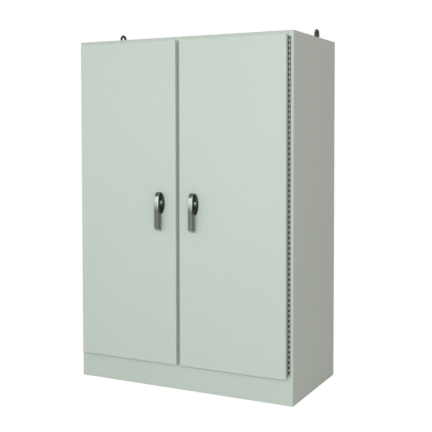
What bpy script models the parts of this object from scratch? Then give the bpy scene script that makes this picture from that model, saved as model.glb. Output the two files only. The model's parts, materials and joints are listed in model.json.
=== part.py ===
"""Two-door free-standing switchboard cabinet.

Metres, +Z up, +X to the right, the doors face -Y. The origin is the middle of the bounding
box on the floor. Run with: blender --background --python part.py
"""

import math

import bmesh
import bpy
from mathutils import Matrix, Vector

# Overall size of the welded body, and how far the doors and handles stand in front of it
HEIGHT = 1.830
WIDTH = 1.242
BODY_DEPTH = 0.618
DOOR_PROUD = 0.036
HANDLE_REACH = 0.050

# Sheet metal and fits
SHEET = 0.0027
DOOR_SHEET = 0.0020
GAP = 0.0003
RETURN_GAP = 0.004

# Planes from front to back
DOOR_FACE_Y = HANDLE_REACH - (BODY_DEPTH + DOOR_PROUD + HANDLE_REACH) / 2
FRONT_Y = DOOR_FACE_Y + DOOR_PROUD
REAR_Y = FRONT_Y + BODY_DEPTH
SKIN_INSIDE_Y = DOOR_FACE_Y + DOOR_SHEET
INSIDE_X = WIDTH / 2 - SHEET - GAP
ROOF_UNDERSIDE = HEIGHT - SHEET - GAP

# Door opening, edged by a collar that turns forward into the door's gasket
OPENING_X = 0.571
OPENING_BOTTOM = 0.162
OPENING_TOP = 1.786
COLLAR = 0.0235
POST_HALF_WIDTH = 0.034
POST_LEG_X = 0.020
POST_DEPTH = 0.045
FLOOR_PAN_TOP = 0.124

# Doors
DOOR_OUTER_X = 0.5965
DOOR_INNER_X = 0.0105
DOOR_BOTTOM = 0.136
DOOR_TOP = 1.812
DOOR_LIP = 0.012
CORNER_RADIUS = 0.005
GASKET_WIDTH = 0.016
GASKET_THICK = 0.0098
STIFFENER_X = 0.240

# Continuous hinge: an unrolled leaf, curled round the pin at every other knuckle
KNUCKLE_RADIUS = 0.0055
LEAF_THICK = 0.0020
LEAF_WIDTH = 0.016
PIN_RADIUS = 0.0029
HINGE_PITCH = 0.127
KNUCKLE_PAIRS = 13
KNUCKLE_GAP = 0.0006
HINGE_LENGTH = HINGE_PITCH * KNUCKLE_PAIRS
HINGE_BOTTOM = (DOOR_BOTTOM + DOOR_TOP - HINGE_LENGTH) / 2
HINGE_X = DOOR_OUTER_X + GAP + KNUCKLE_RADIUS
HINGE_Y = FRONT_Y - GAP - KNUCKLE_RADIUS

# Handle and three-point latch
HANDLE_X = 0.0985
HANDLE_Z = 0.978
HANDLE_TURN = math.radians(90)
LATCH_RATIO = 0.0216
LATCH_TRAVEL = 0.034
CAM_FRONT_Y = FRONT_Y + 0.0053
CAM_THICK = 0.0035
CAM_RADIUS = 0.031
CRANK_RADIUS = 0.024
CRANK_PIN_RADIUS = 0.004
TONGUE_REACH = 0.061
LEVER_WIDTH = 0.0234
LEVER_DEPTH = 0.030
LEVER_BOTTOM = 0.832
LEVER_TOP = 1.018
ROD_Y = FRONT_Y + 0.015
ROD_RADIUS = 0.00475
YOKE_THICK = 0.003
ROLLER_RADIUS = 0.011
ROLLER_WIDTH = 0.008
AXLE_RADIUS = 0.003
ROLLER_SHORT = 0.003
SPINDLE_RADIUS = 0.008
HUB_RADIUS = 0.0125
PLUG_RADIUS = 0.0065
BASE_WIDTH = 0.048
BASE_HEIGHT = 0.112
BASE_THICK = 0.010
BASE_Z = 0.973
GUIDE_OFFSET = 0.150

# Mounting panel and what holds it
PANEL_HALF_WIDTH = 0.560
PANEL_BOTTOM = 0.200
PANEL_TOP = 1.740
PANEL_STANDOFF = 0.032
SEAT_DEPTH = 0.0006
STUD_X = 0.520
STUD_BOTTOM = 0.260
STUD_TOP = 1.680

# Lifting eyes: (name, x, distance behind the body's middle plane)
EYEBOLTS = (("front_left", -0.480, -0.100), ("rear_right", 0.578, 0.137))
EYE_RING_RADIUS = 0.021
EYE_WIRE_RADIUS = 0.006
EYE_TOP = 0.055

ENAMEL = "grey_enamel"
WHITE = "white_enamel"
CHROME = "satin_chrome"
BLACK = "black_zinc"
PLATED = "zinc_plate"
BARE = "dark_steel"
NYLON = "nylon"
RUBBER = "foam_rubber"
BRASS = "brass"
PLASTIC = "pocket_plastic"

FINISHES = {
    ENAMEL: ((0.58, 0.66, 0.58), 0.42, 0.0),
    WHITE: ((0.80, 0.80, 0.77), 0.45, 0.0),
    CHROME: ((0.66, 0.66, 0.64), 0.22, 1.0),
    BLACK: ((0.03, 0.03, 0.03), 0.35, 0.2),
    PLATED: ((0.55, 0.56, 0.55), 0.35, 1.0),
    BARE: ((0.10, 0.10, 0.09), 0.50, 0.8),
    NYLON: ((0.75, 0.73, 0.66), 0.50, 0.0),
    RUBBER: ((0.03, 0.03, 0.03), 0.85, 0.0),
    BRASS: ((0.70, 0.52, 0.20), 0.35, 1.0),
    PLASTIC: ((0.22, 0.23, 0.23), 0.55, 0.0),
}

AXES = {"X": Vector((1, 0, 0)), "Y": Vector((0, 1, 0)), "Z": Vector((0, 0, 1))}


def clear_scene():
    for obj in list(bpy.data.objects):
        bpy.data.objects.remove(obj)


def finish_material(name):
    material = bpy.data.materials.get(name)
    if material:
        return material
    colour, roughness, metallic = FINISHES[name]
    material = bpy.data.materials.new(name)
    material.use_nodes = True
    shader = material.node_tree.nodes["Principled BSDF"]
    shader.inputs["Base Color"].default_value = (*colour, 1.0)
    shader.inputs["Roughness"].default_value = roughness
    shader.inputs["Metallic"].default_value = metallic
    material.diffuse_color = (*colour, 1.0)
    return material


def pivot(name, point, parent=None):
    """An empty on a joint's axis. The pieces that move with the joint are its children."""
    empty = bpy.data.objects.new(name, None)
    bpy.context.scene.collection.objects.link(empty)
    empty.parent = parent
    empty.location = Vector(point) - (world_of(parent) if parent else Vector())
    return empty


def world_of(empty):
    place = Vector()
    while empty:
        place += empty.location
        empty = empty.parent
    return place


def piece(name, solid, finish, parent=None):
    """Makes a node from a bmesh drawn in world space, with its origin on its parent's axis."""
    bmesh.ops.recalc_face_normals(solid, faces=solid.faces)
    mesh = bpy.data.meshes.new(name)
    solid.to_mesh(mesh)
    solid.free()
    obj = bpy.data.objects.new(name, mesh)
    bpy.context.scene.collection.objects.link(obj)
    mesh.materials.append(finish_material(finish))
    mesh.shade_smooth()
    mesh.set_sharp_from_angle(angle=math.radians(35))
    if parent:
        mesh.transform(Matrix.Translation(-world_of(parent)))
        obj.parent = parent
    return obj


def combine(obj, solid, operation):
    """Cuts a hidden helper solid from obj, or joins it on."""
    helper = piece(f"{obj.name}_{operation.lower()}", solid, ENAMEL)
    helper.hide_render = True
    helper.display_type = "WIRE"
    modifier = obj.modifiers.new(operation.title(), "BOOLEAN")
    modifier.operation = operation
    modifier.object = helper
    return obj


def box(x, y, z, into=None):
    """A block between the pairs of limits x, y and z."""
    solid = into or bmesh.new()
    sides = [(min(pair), max(pair)) for pair in (x, y, z)]
    centre = [(low + high) / 2 for low, high in sides]
    size = [high - low for low, high in sides]
    place = Matrix.Translation(centre) @ Matrix.Diagonal((*size, 1.0))
    bmesh.ops.create_cube(solid, size=1.0, matrix=place)
    return solid


def prism(outline, axis, low, high, into=None):
    """An outline of (u, v) points extruded along an axis. u and v are the other two axes in order."""
    solid = into or bmesh.new()
    index = "XYZ".index(axis)
    corners = []
    for u, v in outline:
        point = [u, v]
        point.insert(index, low)
        corners.append(solid.verts.new(point))
    face = solid.faces.new(corners)
    grown = bmesh.ops.extrude_face_region(solid, geom=[face])
    moved = [item for item in grown["geom"] if isinstance(item, bmesh.types.BMVert)]
    bmesh.ops.translate(solid, verts=moved, vec=AXES[axis] * (high - low))
    return solid


def turned(profile, centre, axis, sides=24, into=None):
    """A solid of revolution from (radius, distance along the axis) steps."""
    solid = into or bmesh.new()
    turn = Vector((0, 0, 1)).rotation_difference(AXES[axis]).to_matrix().to_4x4()
    first_radius, first_step = profile[0]
    start = Matrix.Translation(Vector(centre) + AXES[axis] * first_step) @ turn
    made = bmesh.ops.create_circle(solid, cap_ends=True, segments=sides, radius=first_radius, matrix=start)
    ring = made["verts"]
    face = ring[0].link_faces[0]
    radius, step = first_radius, first_step
    for next_radius, next_step in profile[1:]:
        grown = bmesh.ops.extrude_discrete_faces(solid, faces=[face])
        face = grown["faces"][0]
        middle = Matrix.Translation(Vector(centre) + AXES[axis] * step)
        scale = next_radius / radius
        bmesh.ops.scale(solid, vec=(scale,) * 3, space=middle.inverted(), verts=face.verts)
        bmesh.ops.translate(solid, vec=AXES[axis] * (next_step - step), verts=face.verts)
        radius, step = next_radius, next_step
    bmesh.ops.contextual_create(solid, geom=ring)
    return solid


def rounded_rectangle(u0, u1, v0, v1, radius, steps=3):
    points = []
    for cu, cv, start in ((u1, v1, 0), (u0, v1, 90), (u0, v0, 180), (u1, v0, 270)):
        inset_u = cu - radius if cu == u1 else cu + radius
        inset_v = cv - radius if cv == v1 else cv + radius
        for k in range(steps + 1):
            angle = math.radians(start + 90 * k / steps)
            points.append((inset_u + radius * math.cos(angle), inset_v + radius * math.sin(angle)))
    return points


def mirrored(outline, side):
    """Outlines are drawn for the right-hand side. On the left, u changes sign."""
    return [(side * u, v) for u, v in outline]


def span(side, first, last):
    """The limits of an interval of X drawn for the right-hand side."""
    return tuple(sorted((side * first, side * last)))


# ---------------------------------------------------------------- welded body


def make_shell():
    depth = (FRONT_Y, REAR_Y)
    for side, name in ((-1, "left_side_panel"), (1, "right_side_panel")):
        piece(name, box(span(side, WIDTH / 2 - SHEET, WIDTH / 2), depth, (0, ROOF_UNDERSIDE)), ENAMEL)
    between = (-INSIDE_X, INSIDE_X)
    piece("rear_panel", box(between, (REAR_Y - SHEET, REAR_Y), (0, ROOF_UNDERSIDE)), ENAMEL)
    inside_depth = (FRONT_Y + SHEET + GAP, REAR_Y - SHEET - GAP)
    piece("floor_pan", box(between, inside_depth, (FLOOR_PAN_TOP - SHEET, FLOOR_PAN_TOP)), ENAMEL)
    roof = piece("roof_panel", box((-WIDTH / 2, WIDTH / 2), depth, (HEIGHT - SHEET, HEIGHT)), ENAMEL)
    for _, x, back in EYEBOLTS:
        combine(roof, turned([(0.0066, -0.01), (0.0066, 0.01)], (x, eye_y(back), HEIGHT), "Z"), "DIFFERENCE")


def make_opening_rim():
    """The front members, each an angle whose collar faces the door's gasket."""
    flange_y = (FRONT_Y, FRONT_Y + SHEET)
    tip_y = FRONT_Y - COLLAR
    across = (-INSIDE_X, INSIDE_X)
    kick = piece("front_kick_panel", box(across, flange_y, (0, OPENING_BOTTOM)), ENAMEL)
    combine(kick, rim_collars(tip_y, OPENING_BOTTOM - SHEET), "UNION")
    header = piece("front_header", box(across, flange_y, (OPENING_TOP, ROOF_UNDERSIDE)), ENAMEL)
    combine(header, rim_collars(tip_y, OPENING_TOP), "UNION")
    angle = [
        (OPENING_X, tip_y),
        (OPENING_X + SHEET, tip_y),
        (OPENING_X + SHEET, FRONT_Y),
        (INSIDE_X, FRONT_Y),
        (INSIDE_X, FRONT_Y + SHEET),
        (OPENING_X, FRONT_Y + SHEET),
    ]
    height = (OPENING_BOTTOM + GAP, OPENING_TOP - GAP)
    for side, name in ((-1, "left_front_stile"), (1, "right_front_stile")):
        piece(name, prism(mirrored(angle, side), "Z", *height), ENAMEL)


def rim_collars(tip_y, z):
    """One collar for each door, clear of the doors' walls in the middle."""
    solid = bmesh.new()
    for side in (-1, 1):
        x = span(side, POST_HALF_WIDTH - SHEET, OPENING_X + SHEET)
        box(x, (tip_y, FRONT_Y + SHEET / 2), (z, z + SHEET), into=solid)
    return solid


def make_centre_post():
    """A removable channel with a collar along each edge and two legs behind."""
    tip_y = FRONT_Y - COLLAR
    back_y = FRONT_Y + SHEET
    half = [
        (0, FRONT_Y),
        (POST_HALF_WIDTH - SHEET, FRONT_Y),
        (POST_HALF_WIDTH - SHEET, tip_y),
        (POST_HALF_WIDTH, tip_y),
        (POST_HALF_WIDTH, back_y),
        (POST_LEG_X, back_y),
        (POST_LEG_X, FRONT_Y + POST_DEPTH),
        (POST_LEG_X - SHEET, FRONT_Y + POST_DEPTH),
        (POST_LEG_X - SHEET, back_y),
    ]
    outline = half[1:] + mirrored(half[1:], -1)[::-1]
    piece("centre_post", prism(outline, "Z", OPENING_BOTTOM + GAP, OPENING_TOP - GAP), ENAMEL)
    plate_y = (back_y + GAP, CAM_FRONT_Y - 0.001)
    for side, name in ((-1, "left_strike_plate"), (1, "right_strike_plate")):
        plate_x = span(side, POST_LEG_X + 0.0015, POST_HALF_WIDTH - 0.0005)
        piece(name, box(plate_x, plate_y, (HANDLE_Z - 0.022, HANDLE_Z + 0.022)), PLATED)


def make_floor_anchors():
    """Angles inside the plinth, each with two holes for floor anchors."""
    leg, thick, hole = 0.045, 0.004, 0.007
    depth = (FRONT_Y + SHEET + GAP, REAR_Y - SHEET - GAP)
    for side, name in ((-1, "left_anchor_angle"), (1, "right_anchor_angle")):
        outline = [
            (INSIDE_X, 0),
            (INSIDE_X, leg),
            (INSIDE_X - thick, leg),
            (INSIDE_X - thick, thick),
            (INSIDE_X - leg, thick),
            (INSIDE_X - leg, 0),
        ]
        angle = piece(name, prism(mirrored(outline, side), "Y", *depth), ENAMEL)
        for y in (depth[0] + 0.06, depth[1] - 0.06):
            centre = (side * (INSIDE_X - leg / 2 - thick / 2), y, 0)
            combine(angle, turned([(hole, -0.01), (hole, 0.02)], centre, "Z", 16), "DIFFERENCE")


# ---------------------------------------------------------------- inside the body


def make_mounting_panel():
    front_y = REAR_Y - SHEET - PANEL_STANDOFF
    flange = 0.018
    outline = [
        (-PANEL_HALF_WIDTH, front_y),
        (PANEL_HALF_WIDTH, front_y),
        (PANEL_HALF_WIDTH, front_y + flange),
        (PANEL_HALF_WIDTH - SHEET, front_y + flange),
        (PANEL_HALF_WIDTH - SHEET, front_y + SHEET),
        (SHEET - PANEL_HALF_WIDTH, front_y + SHEET),
        (SHEET - PANEL_HALF_WIDTH, front_y + flange),
        (-PANEL_HALF_WIDTH, front_y + flange),
    ]
    panel = piece("mounting_panel", prism(outline, "Z", PANEL_BOTTOM, PANEL_TOP), WHITE)
    collar = REAR_Y - SHEET - GAP
    seat = front_y + SEAT_DEPTH - GAP
    steps = [
        (0.009, collar), (0.009, front_y + SHEET + GAP), (0.005, front_y + SHEET + GAP), (0.005, seat),
        (0.0115, seat), (0.0115, seat - 0.002), (0.0092, seat - 0.002), (0.0092, seat - 0.010),
        (0.005, seat - 0.010), (0.005, seat - 0.020),
    ]
    for side, hand in ((-1, "left"), (1, "right")):
        for row, z in (("lower", STUD_BOTTOM), ("upper", STUD_TOP)):
            centre = (side * STUD_X, 0, z)
            hole = turned([(0.006, front_y - 0.01), (0.006, front_y + 0.01)], centre, "Y", 12)
            combine(panel, hole, "DIFFERENCE")
            # A bare spot-faced seat, so that the nut bonds the panel to earth
            spot = turned([(0.014, front_y - 0.01), (0.014, front_y + SEAT_DEPTH)], centre, "Y", 20)
            combine(panel, spot, "DIFFERENCE")
            piece(f"panel_stud_{row}_{hand}", turned(steps, centre, "Y", 12), PLATED)


def make_ground_stud():
    """A bolt with a washer and a nut, through the left side near the floor pan."""
    centre = (-INSIDE_X, REAR_Y - 0.16, FLOOR_PAN_TOP + 0.09)
    steps = [
        (0.011, GAP), (0.011, 0.003), (0.008, 0.003), (0.008, 0.010),
        (0.005, 0.010), (0.005, 0.034),
    ]
    piece("ground_stud", turned(steps, centre, "X", 12), BRASS)


def eye_y(back):
    return (FRONT_Y + REAR_Y) / 2 + back


def make_lifting_eyes():
    for name, x, back in EYEBOLTS:
        y = eye_y(back)
        plate_top = ROOF_UNDERSIDE
        plate_bottom = plate_top - 0.006
        reach = min(0.040, INSIDE_X - abs(x) - GAP)
        plate = piece(
            f"lifting_plate_{name}",
            box((x - reach, x + reach), (y - 0.040, y + 0.040), (plate_bottom, plate_top)),
            ENAMEL,
        )
        combine(plate, turned([(0.0066, -0.02), (0.0066, 0.02)], (x, y, plate_bottom), "Z"), "DIFFERENCE")
        seat = HEIGHT + GAP
        steps = [
            (0.006, plate_bottom - 0.018),
            (0.006, plate_bottom - 0.011),
            (0.0105, plate_bottom - 0.011),
            (0.0105, plate_bottom - GAP),
            (0.006, plate_bottom - GAP),
            (0.006, seat),
            (0.014, seat),
            (0.014, seat + 0.006),
            (0.008, seat + 0.010),
        ]
        eye = piece(f"eyebolt_{name}", turned(steps, (x, y, 0), "Z", 16), BARE)
        centre_z = HEIGHT + EYE_TOP - EYE_RING_RADIUS - EYE_WIRE_RADIUS
        combine(eye, ring((x, y, centre_z), EYE_RING_RADIUS, EYE_WIRE_RADIUS), "UNION")


def ring(centre, radius, wire, around=20, wire_sides=8):
    """A torus whose axis runs along X, spun from one circle."""
    solid = bmesh.new()
    start = Matrix.Translation(Vector(centre) + Vector((0, 0, radius))) @ Matrix.Rotation(math.pi / 2, 4, "Y")
    start = start @ Matrix.Rotation(math.pi / 2, 4, "X")
    made = bmesh.ops.create_circle(solid, segments=wire_sides, radius=wire, matrix=start)
    edges = {edge for vert in made["verts"] for edge in vert.link_edges}
    bmesh.ops.spin(
        solid, geom=list(edges) + made["verts"], cent=centre, axis=(1, 0, 0),
        angle=math.tau, steps=around, use_merge=True,
    )
    bmesh.ops.remove_doubles(solid, verts=solid.verts, dist=1e-5)
    return solid


# ---------------------------------------------------------------- continuous hinges


def leaf_point(u, v, inwards, side):
    """Turns a point of the door's leaf, which runs forwards, into one of the body's leaf."""
    if inwards:
        u, v = v, -u
    return (side * (HINGE_X + u), HINGE_Y + v)


def plate_outline(width, inwards, side):
    root = -KNUCKLE_RADIUS - 0.0008
    inner = LEAF_THICK - KNUCKLE_RADIUS
    corners = ((-KNUCKLE_RADIUS, -width), (inner, -width), (inner, root), (-KNUCKLE_RADIUS, root))
    return [leaf_point(u, v, inwards, side) for u, v in corners]


def knuckle_outline(inwards, side):
    """A leaf's edge, curled most of the way round the pin."""
    root = -KNUCKLE_RADIUS - 0.0028
    bore = KNUCKLE_RADIUS - LEAF_THICK
    outer, inner = [], []
    for k in range(8):
        angle = math.radians(180 - 290 * k / 7)
        outer.append((KNUCKLE_RADIUS * math.cos(angle), KNUCKLE_RADIUS * math.sin(angle)))
        inner.append((bore * math.cos(angle), bore * math.sin(angle)))
    points = [(-KNUCKLE_RADIUS, root)] + outer + inner[::-1] + [(-bore, root)]
    return [leaf_point(u, v, inwards, side) for u, v in points]


def make_leaf(name, side, inwards, width, parent=None):
    """A leaf with a knuckle in every other space. The two leaves of a hinge fill alternate spaces."""
    whole = (HINGE_BOTTOM, HINGE_BOTTOM + HINGE_LENGTH)
    leaf = piece(name, prism(plate_outline(width, inwards, side), "Z", *whole), ENAMEL, parent)
    knuckles = bmesh.new()
    for k in range(KNUCKLE_PAIRS):
        low = HINGE_BOTTOM + HINGE_PITCH * (k + (0.5 if inwards else 0))
        limits = (low + KNUCKLE_GAP / 2, low + HINGE_PITCH / 2 - KNUCKLE_GAP / 2)
        prism(knuckle_outline(inwards, side), "Z", *limits, into=knuckles)
    return combine(leaf, knuckles, "UNION")


def make_hinge(name, side, door_axis):
    make_leaf(f"{name}_hinge_body_leaf", side, True, LEAF_WIDTH + 0.006)
    make_leaf(f"{name}_hinge_door_leaf", side, False, LEAF_WIDTH, door_axis)
    rod = [(PIN_RADIUS, HINGE_BOTTOM), (PIN_RADIUS, HINGE_BOTTOM + HINGE_LENGTH)]
    piece(f"{name}_hinge_pin", turned(rod, (side * HINGE_X, HINGE_Y, 0), "Z", 12), PLATED)


# ---------------------------------------------------------------- doors


def make_door(name, side, axis):
    """A pan with side walls and a return lip all round."""
    back = FRONT_Y - RETURN_GAP
    limits = (DOOR_INNER_X, DOOR_OUTER_X, DOOR_BOTTOM, DOOR_TOP)
    outline = rounded_rectangle(*limits, CORNER_RADIUS)
    door = piece(f"{name}_door", prism(mirrored(outline, side), "Y", DOOR_FACE_Y, back), ENAMEL, axis)
    inside = rounded_rectangle(*inset(limits, DOOR_SHEET), CORNER_RADIUS - DOOR_SHEET)
    hollow = prism(mirrored(inside, side), "Y", SKIN_INSIDE_Y, back - DOOR_SHEET)
    combine(door, hollow, "DIFFERENCE")
    u0, u1, v0, v1 = inset(limits, DOOR_LIP)
    mouth = box(span(side, u0, u1), (back - DOOR_SHEET - 0.002, back + 0.01), (v0, v1))
    combine(door, mouth, "DIFFERENCE")
    centre = (side * HANDLE_X, DOOR_FACE_Y, HANDLE_Z)
    hole = turned([(SPINDLE_RADIUS + 0.001, -0.01), (SPINDLE_RADIUS + 0.001, 0.01)], centre, "Y", 16)
    combine(door, hole, "DIFFERENCE")


def inset(limits, distance):
    u0, u1, v0, v1 = limits
    return (u0 + distance, u1 - distance, v0 + distance, v1 - distance)


def make_gasket(name, side, axis):
    """Foam that the opening's collar presses on, all round the door."""
    middle = (
        POST_HALF_WIDTH - SHEET / 2,
        OPENING_X + SHEET / 2,
        OPENING_BOTTOM - SHEET / 2,
        OPENING_TOP + SHEET / 2,
    )
    depth = (SKIN_INSIDE_Y + GAP, SKIN_INSIDE_Y + GAP + GASKET_THICK - 0.0004)
    u0, u1, v0, v1 = inset(middle, -GASKET_WIDTH / 2)
    gasket = piece(f"{name}_door_gasket", box(span(side, u0, u1), depth, (v0, v1)), RUBBER, axis)
    u0, u1, v0, v1 = inset(middle, GASKET_WIDTH / 2)
    window = box(span(side, u0, u1), (depth[0] - 0.01, depth[1] + 0.01), (v0, v1))
    combine(gasket, window, "DIFFERENCE")


def make_stiffener(name, side, axis):
    thick, deep, half = 0.0015, 0.018, 0.016
    near = SKIN_INSIDE_Y + GAP
    x0, x1 = STIFFENER_X - half, STIFFENER_X + half
    channel = [
        (x0, near), (x0, near + deep), (x1, near + deep), (x1, near), (x1 - thick, near),
        (x1 - thick, near + deep - thick), (x0 + thick, near + deep - thick), (x0 + thick, near),
    ]
    solid = prism(mirrored(channel, side), "Z", OPENING_BOTTOM + 0.060, OPENING_TOP - 0.060)
    piece(f"{name}_door_stiffener", solid, ENAMEL, axis)


def make_pocket(axis):
    """A drawing pocket, open at the top, on the right door's inner face."""
    x, z = (0.290, 0.530), (0.560, 0.800)
    near = SKIN_INSIDE_Y + GAP
    pocket = piece("drawing_pocket", box(x, (near, near + 0.032), z), PLASTIC, axis)
    hollow = box((x[0] + 0.002, x[1] - 0.002), (near + 0.002, near + 0.030), (z[0] + 0.002, z[1] + 0.01))
    combine(pocket, hollow, "DIFFERENCE")
    cut = box((x[0] + 0.040, x[1] - 0.040), (near + 0.015, near + 0.05), (z[1] - 0.050, z[1] + 0.01))
    combine(pocket, cut, "DIFFERENCE")


# ---------------------------------------------------------------- handles


def oval(u, v, half_width, half_height, steps=24):
    turn = math.tau / steps
    return [(u + half_width * math.cos(k * turn), v + half_height * math.sin(k * turn)) for k in range(steps)]


def make_handle_base(name, side, axis):
    """The oval plate that the lever turns on."""
    back = DOOR_FACE_Y - GAP
    outline = oval(side * HANDLE_X, BASE_Z, BASE_WIDTH / 2, BASE_HEIGHT / 2)
    base = piece(f"{name}_handle_base", prism(outline, "Y", back - BASE_THICK, back), BLACK, axis)
    bore = HUB_RADIUS + GAP
    centre = (side * HANDLE_X, back, HANDLE_Z)
    hole = turned([(bore, -BASE_THICK - 0.01), (bore, 0.01)], centre, "Y", 24)
    combine(base, hole, "DIFFERENCE")


def make_lever(name, side, axis):
    """The lever, its hub and the spindle that passes through the door, in one piece."""
    half = LEVER_WIDTH / 2
    x = side * HANDLE_X
    front = DOOR_FACE_Y - HANDLE_REACH
    back = front + LEVER_DEPTH
    outline = [
        (front, LEVER_BOTTOM + 0.0145),
        (back, LEVER_BOTTOM),
        (back, LEVER_TOP + 0.014),
        (front + 0.014, LEVER_TOP + 0.008),
        (front + 0.005, LEVER_TOP - 0.001),
        (front, LEVER_TOP - 0.016),
    ]
    lever = piece(f"{name}_lever", prism(outline, "X", x - half, x + half), CHROME, axis)
    end = CAM_FRONT_Y + CAM_THICK + 0.0025
    spindle = [
        (HUB_RADIUS, back - 0.004),
        (HUB_RADIUS, DOOR_FACE_Y - GAP),
        (SPINDLE_RADIUS, DOOR_FACE_Y - GAP),
        (SPINDLE_RADIUS, end),
    ]
    combine(lever, turned(spindle, (x, 0, HANDLE_Z), "Y", 24), "UNION")
    bore = PLUG_RADIUS + GAP
    seat = turned([(bore, front - 0.01), (bore, front + 0.0203)], (x, 0, HANDLE_Z), "Y", 16)
    combine(lever, seat, "DIFFERENCE")


def make_lock_plug(name, side, axis):
    front = DOOR_FACE_Y - HANDLE_REACH
    centre = (side * HANDLE_X, 0, HANDLE_Z)
    plug = piece(
        f"{name}_lock_plug", turned([(PLUG_RADIUS, front), (PLUG_RADIUS, front + 0.020)], centre, "Y", 16),
        CHROME, axis,
    )
    x = side * HANDLE_X
    slot = box((x - 0.0009, x + 0.0009), (front - 0.01, front + 0.008), (HANDLE_Z - 0.004, HANDLE_Z + 0.004))
    combine(plug, slot, "DIFFERENCE")


def make_latch_housing(name, side, axis):
    """A collar on the door's inner face that carries the spindle."""
    near = SKIN_INSIDE_Y + GAP
    centre = (side * HANDLE_X, 0, HANDLE_Z)
    flange = [(0.030, near), (0.030, near + 0.004), (0.017, near + 0.004), (0.017, CAM_FRONT_Y - 0.0006)]
    housing = piece(f"{name}_latch_housing", turned(flange, centre, "Y", 20), PLATED, axis)
    bore = SPINDLE_RADIUS + GAP
    combine(housing, turned([(bore, near - 0.01), (bore, CAM_FRONT_Y + 0.01)], centre, "Y", 24), "DIFFERENCE")


def crank_place(side, upper):
    """Where a crank pin is at rest. The upper rod's pin is nearer the middle of the cabinet."""
    reach = CRANK_RADIUS * math.sqrt(0.5)
    sign = 1 if upper else -1
    return (side * (HANDLE_X - sign * reach), HANDLE_Z + sign * reach)


def make_cam(name, side, axis):
    """A disc on the spindle with a tongue for the centre post and a crank pin for each rod."""
    back = CAM_FRONT_Y + CAM_THICK
    centre = (side * HANDLE_X, 0, HANDLE_Z)
    disc = turned([(CAM_RADIUS, CAM_FRONT_Y), (CAM_RADIUS, back)], centre, "Y", 28)
    cam = piece(f"{name}_latch_cam", disc, PLATED, axis)
    tip = side * (HANDLE_X - TONGUE_REACH)
    root = side * (HANDLE_X - CAM_RADIUS + 0.012)
    tongue = box((tip, root), (CAM_FRONT_Y, back), (HANDLE_Z - 0.013, HANDLE_Z + 0.013))
    combine(cam, tongue, "UNION")
    bore = SPINDLE_RADIUS + GAP
    combine(cam, turned([(bore, CAM_FRONT_Y - 0.01), (bore, back + 0.01)], centre, "Y", 24), "DIFFERENCE")
    pins = bmesh.new()
    for upper in (True, False):
        x, z = crank_place(side, upper)
        steps = [(CRANK_PIN_RADIUS, back - 0.002), (CRANK_PIN_RADIUS, ROD_Y + YOKE_THICK / 2 + 0.002)]
        turned(steps, (x, 0, z), "Y", 16, into=pins)
    combine(cam, pins, "UNION")


# ---------------------------------------------------------------- latch rods


def rod_x(side, upper):
    """The middle of a crank pin's sideways travel."""
    sign = 1 if upper else -1
    return side * (HANDLE_X - sign * CRANK_RADIUS * (1 + math.sqrt(0.5)) / 2)


def roller_z(upper):
    if upper:
        return OPENING_TOP - ROLLER_SHORT - ROLLER_RADIUS
    return OPENING_BOTTOM + ROLLER_SHORT + ROLLER_RADIUS


def make_rod(name, side, upper, axis):
    """A rod with a slotted yoke on the crank pin and a fork and axle for its roller."""
    sign = 1 if upper else -1
    x = rod_x(side, upper)
    _, yoke_z = crank_place(side, upper)
    fork_z = roller_z(upper) - sign * 0.022
    plate = (ROD_Y - YOKE_THICK / 2, ROD_Y + YOKE_THICK / 2)
    yoke = box((x - 0.0125, x + 0.0125), plate, (yoke_z - 0.010, yoke_z + 0.010))
    where = "upper" if upper else "lower"
    rod = piece(f"{name}_{where}_rod", yoke, PLATED, axis)
    slot = rounded_rectangle(x - 0.0083, x + 0.0083, yoke_z - 0.0052, yoke_z + 0.0052, 0.004, 2)
    combine(rod, prism(slot, "Y", plate[0] - 0.01, plate[1] + 0.01), "DIFFERENCE")
    ends = (yoke_z + sign * 0.0075, fork_z + sign * 0.005)
    bar = turned([(ROD_RADIUS, min(ends)), (ROD_RADIUS, max(ends))], (x, ROD_Y, 0), "Z", 16)
    combine(rod, bar, "UNION")
    combine(rod, fork(x, fork_z, sign), "UNION")
    pin = [(AXLE_RADIUS, -0.0076), (AXLE_RADIUS, 0.0076)]
    combine(rod, turned(pin, (x, ROD_Y, roller_z(upper)), "X", 16), "UNION")
    return rod


def fork(x, z, sign):
    inner, outer = ROLLER_WIDTH / 2 + 0.0005, ROLLER_WIDTH / 2 + 0.0025
    tip = 0.027
    outline = [
        (-outer, 0), (outer, 0), (outer, tip), (inner, tip),
        (inner, 0.008), (-inner, 0.008), (-inner, tip), (-outer, tip),
    ]
    placed = [(x + u, z + sign * v) for u, v in outline]
    return prism(placed, "Y", ROD_Y - 0.0065, ROD_Y + 0.0065)


def make_roller(name, side, upper, axis):
    where = "upper" if upper else "lower"
    half = ROLLER_WIDTH / 2
    centre = (rod_x(side, upper), ROD_Y, roller_z(upper))
    wheel = piece(
        f"{name}_{where}_roller", turned([(ROLLER_RADIUS, -half), (ROLLER_RADIUS, half)], centre, "X", 24),
        NYLON, axis,
    )
    bore = AXLE_RADIUS + GAP
    combine(wheel, turned([(bore, -0.01), (bore, 0.01)], centre, "X", 16), "DIFFERENCE")


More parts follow.
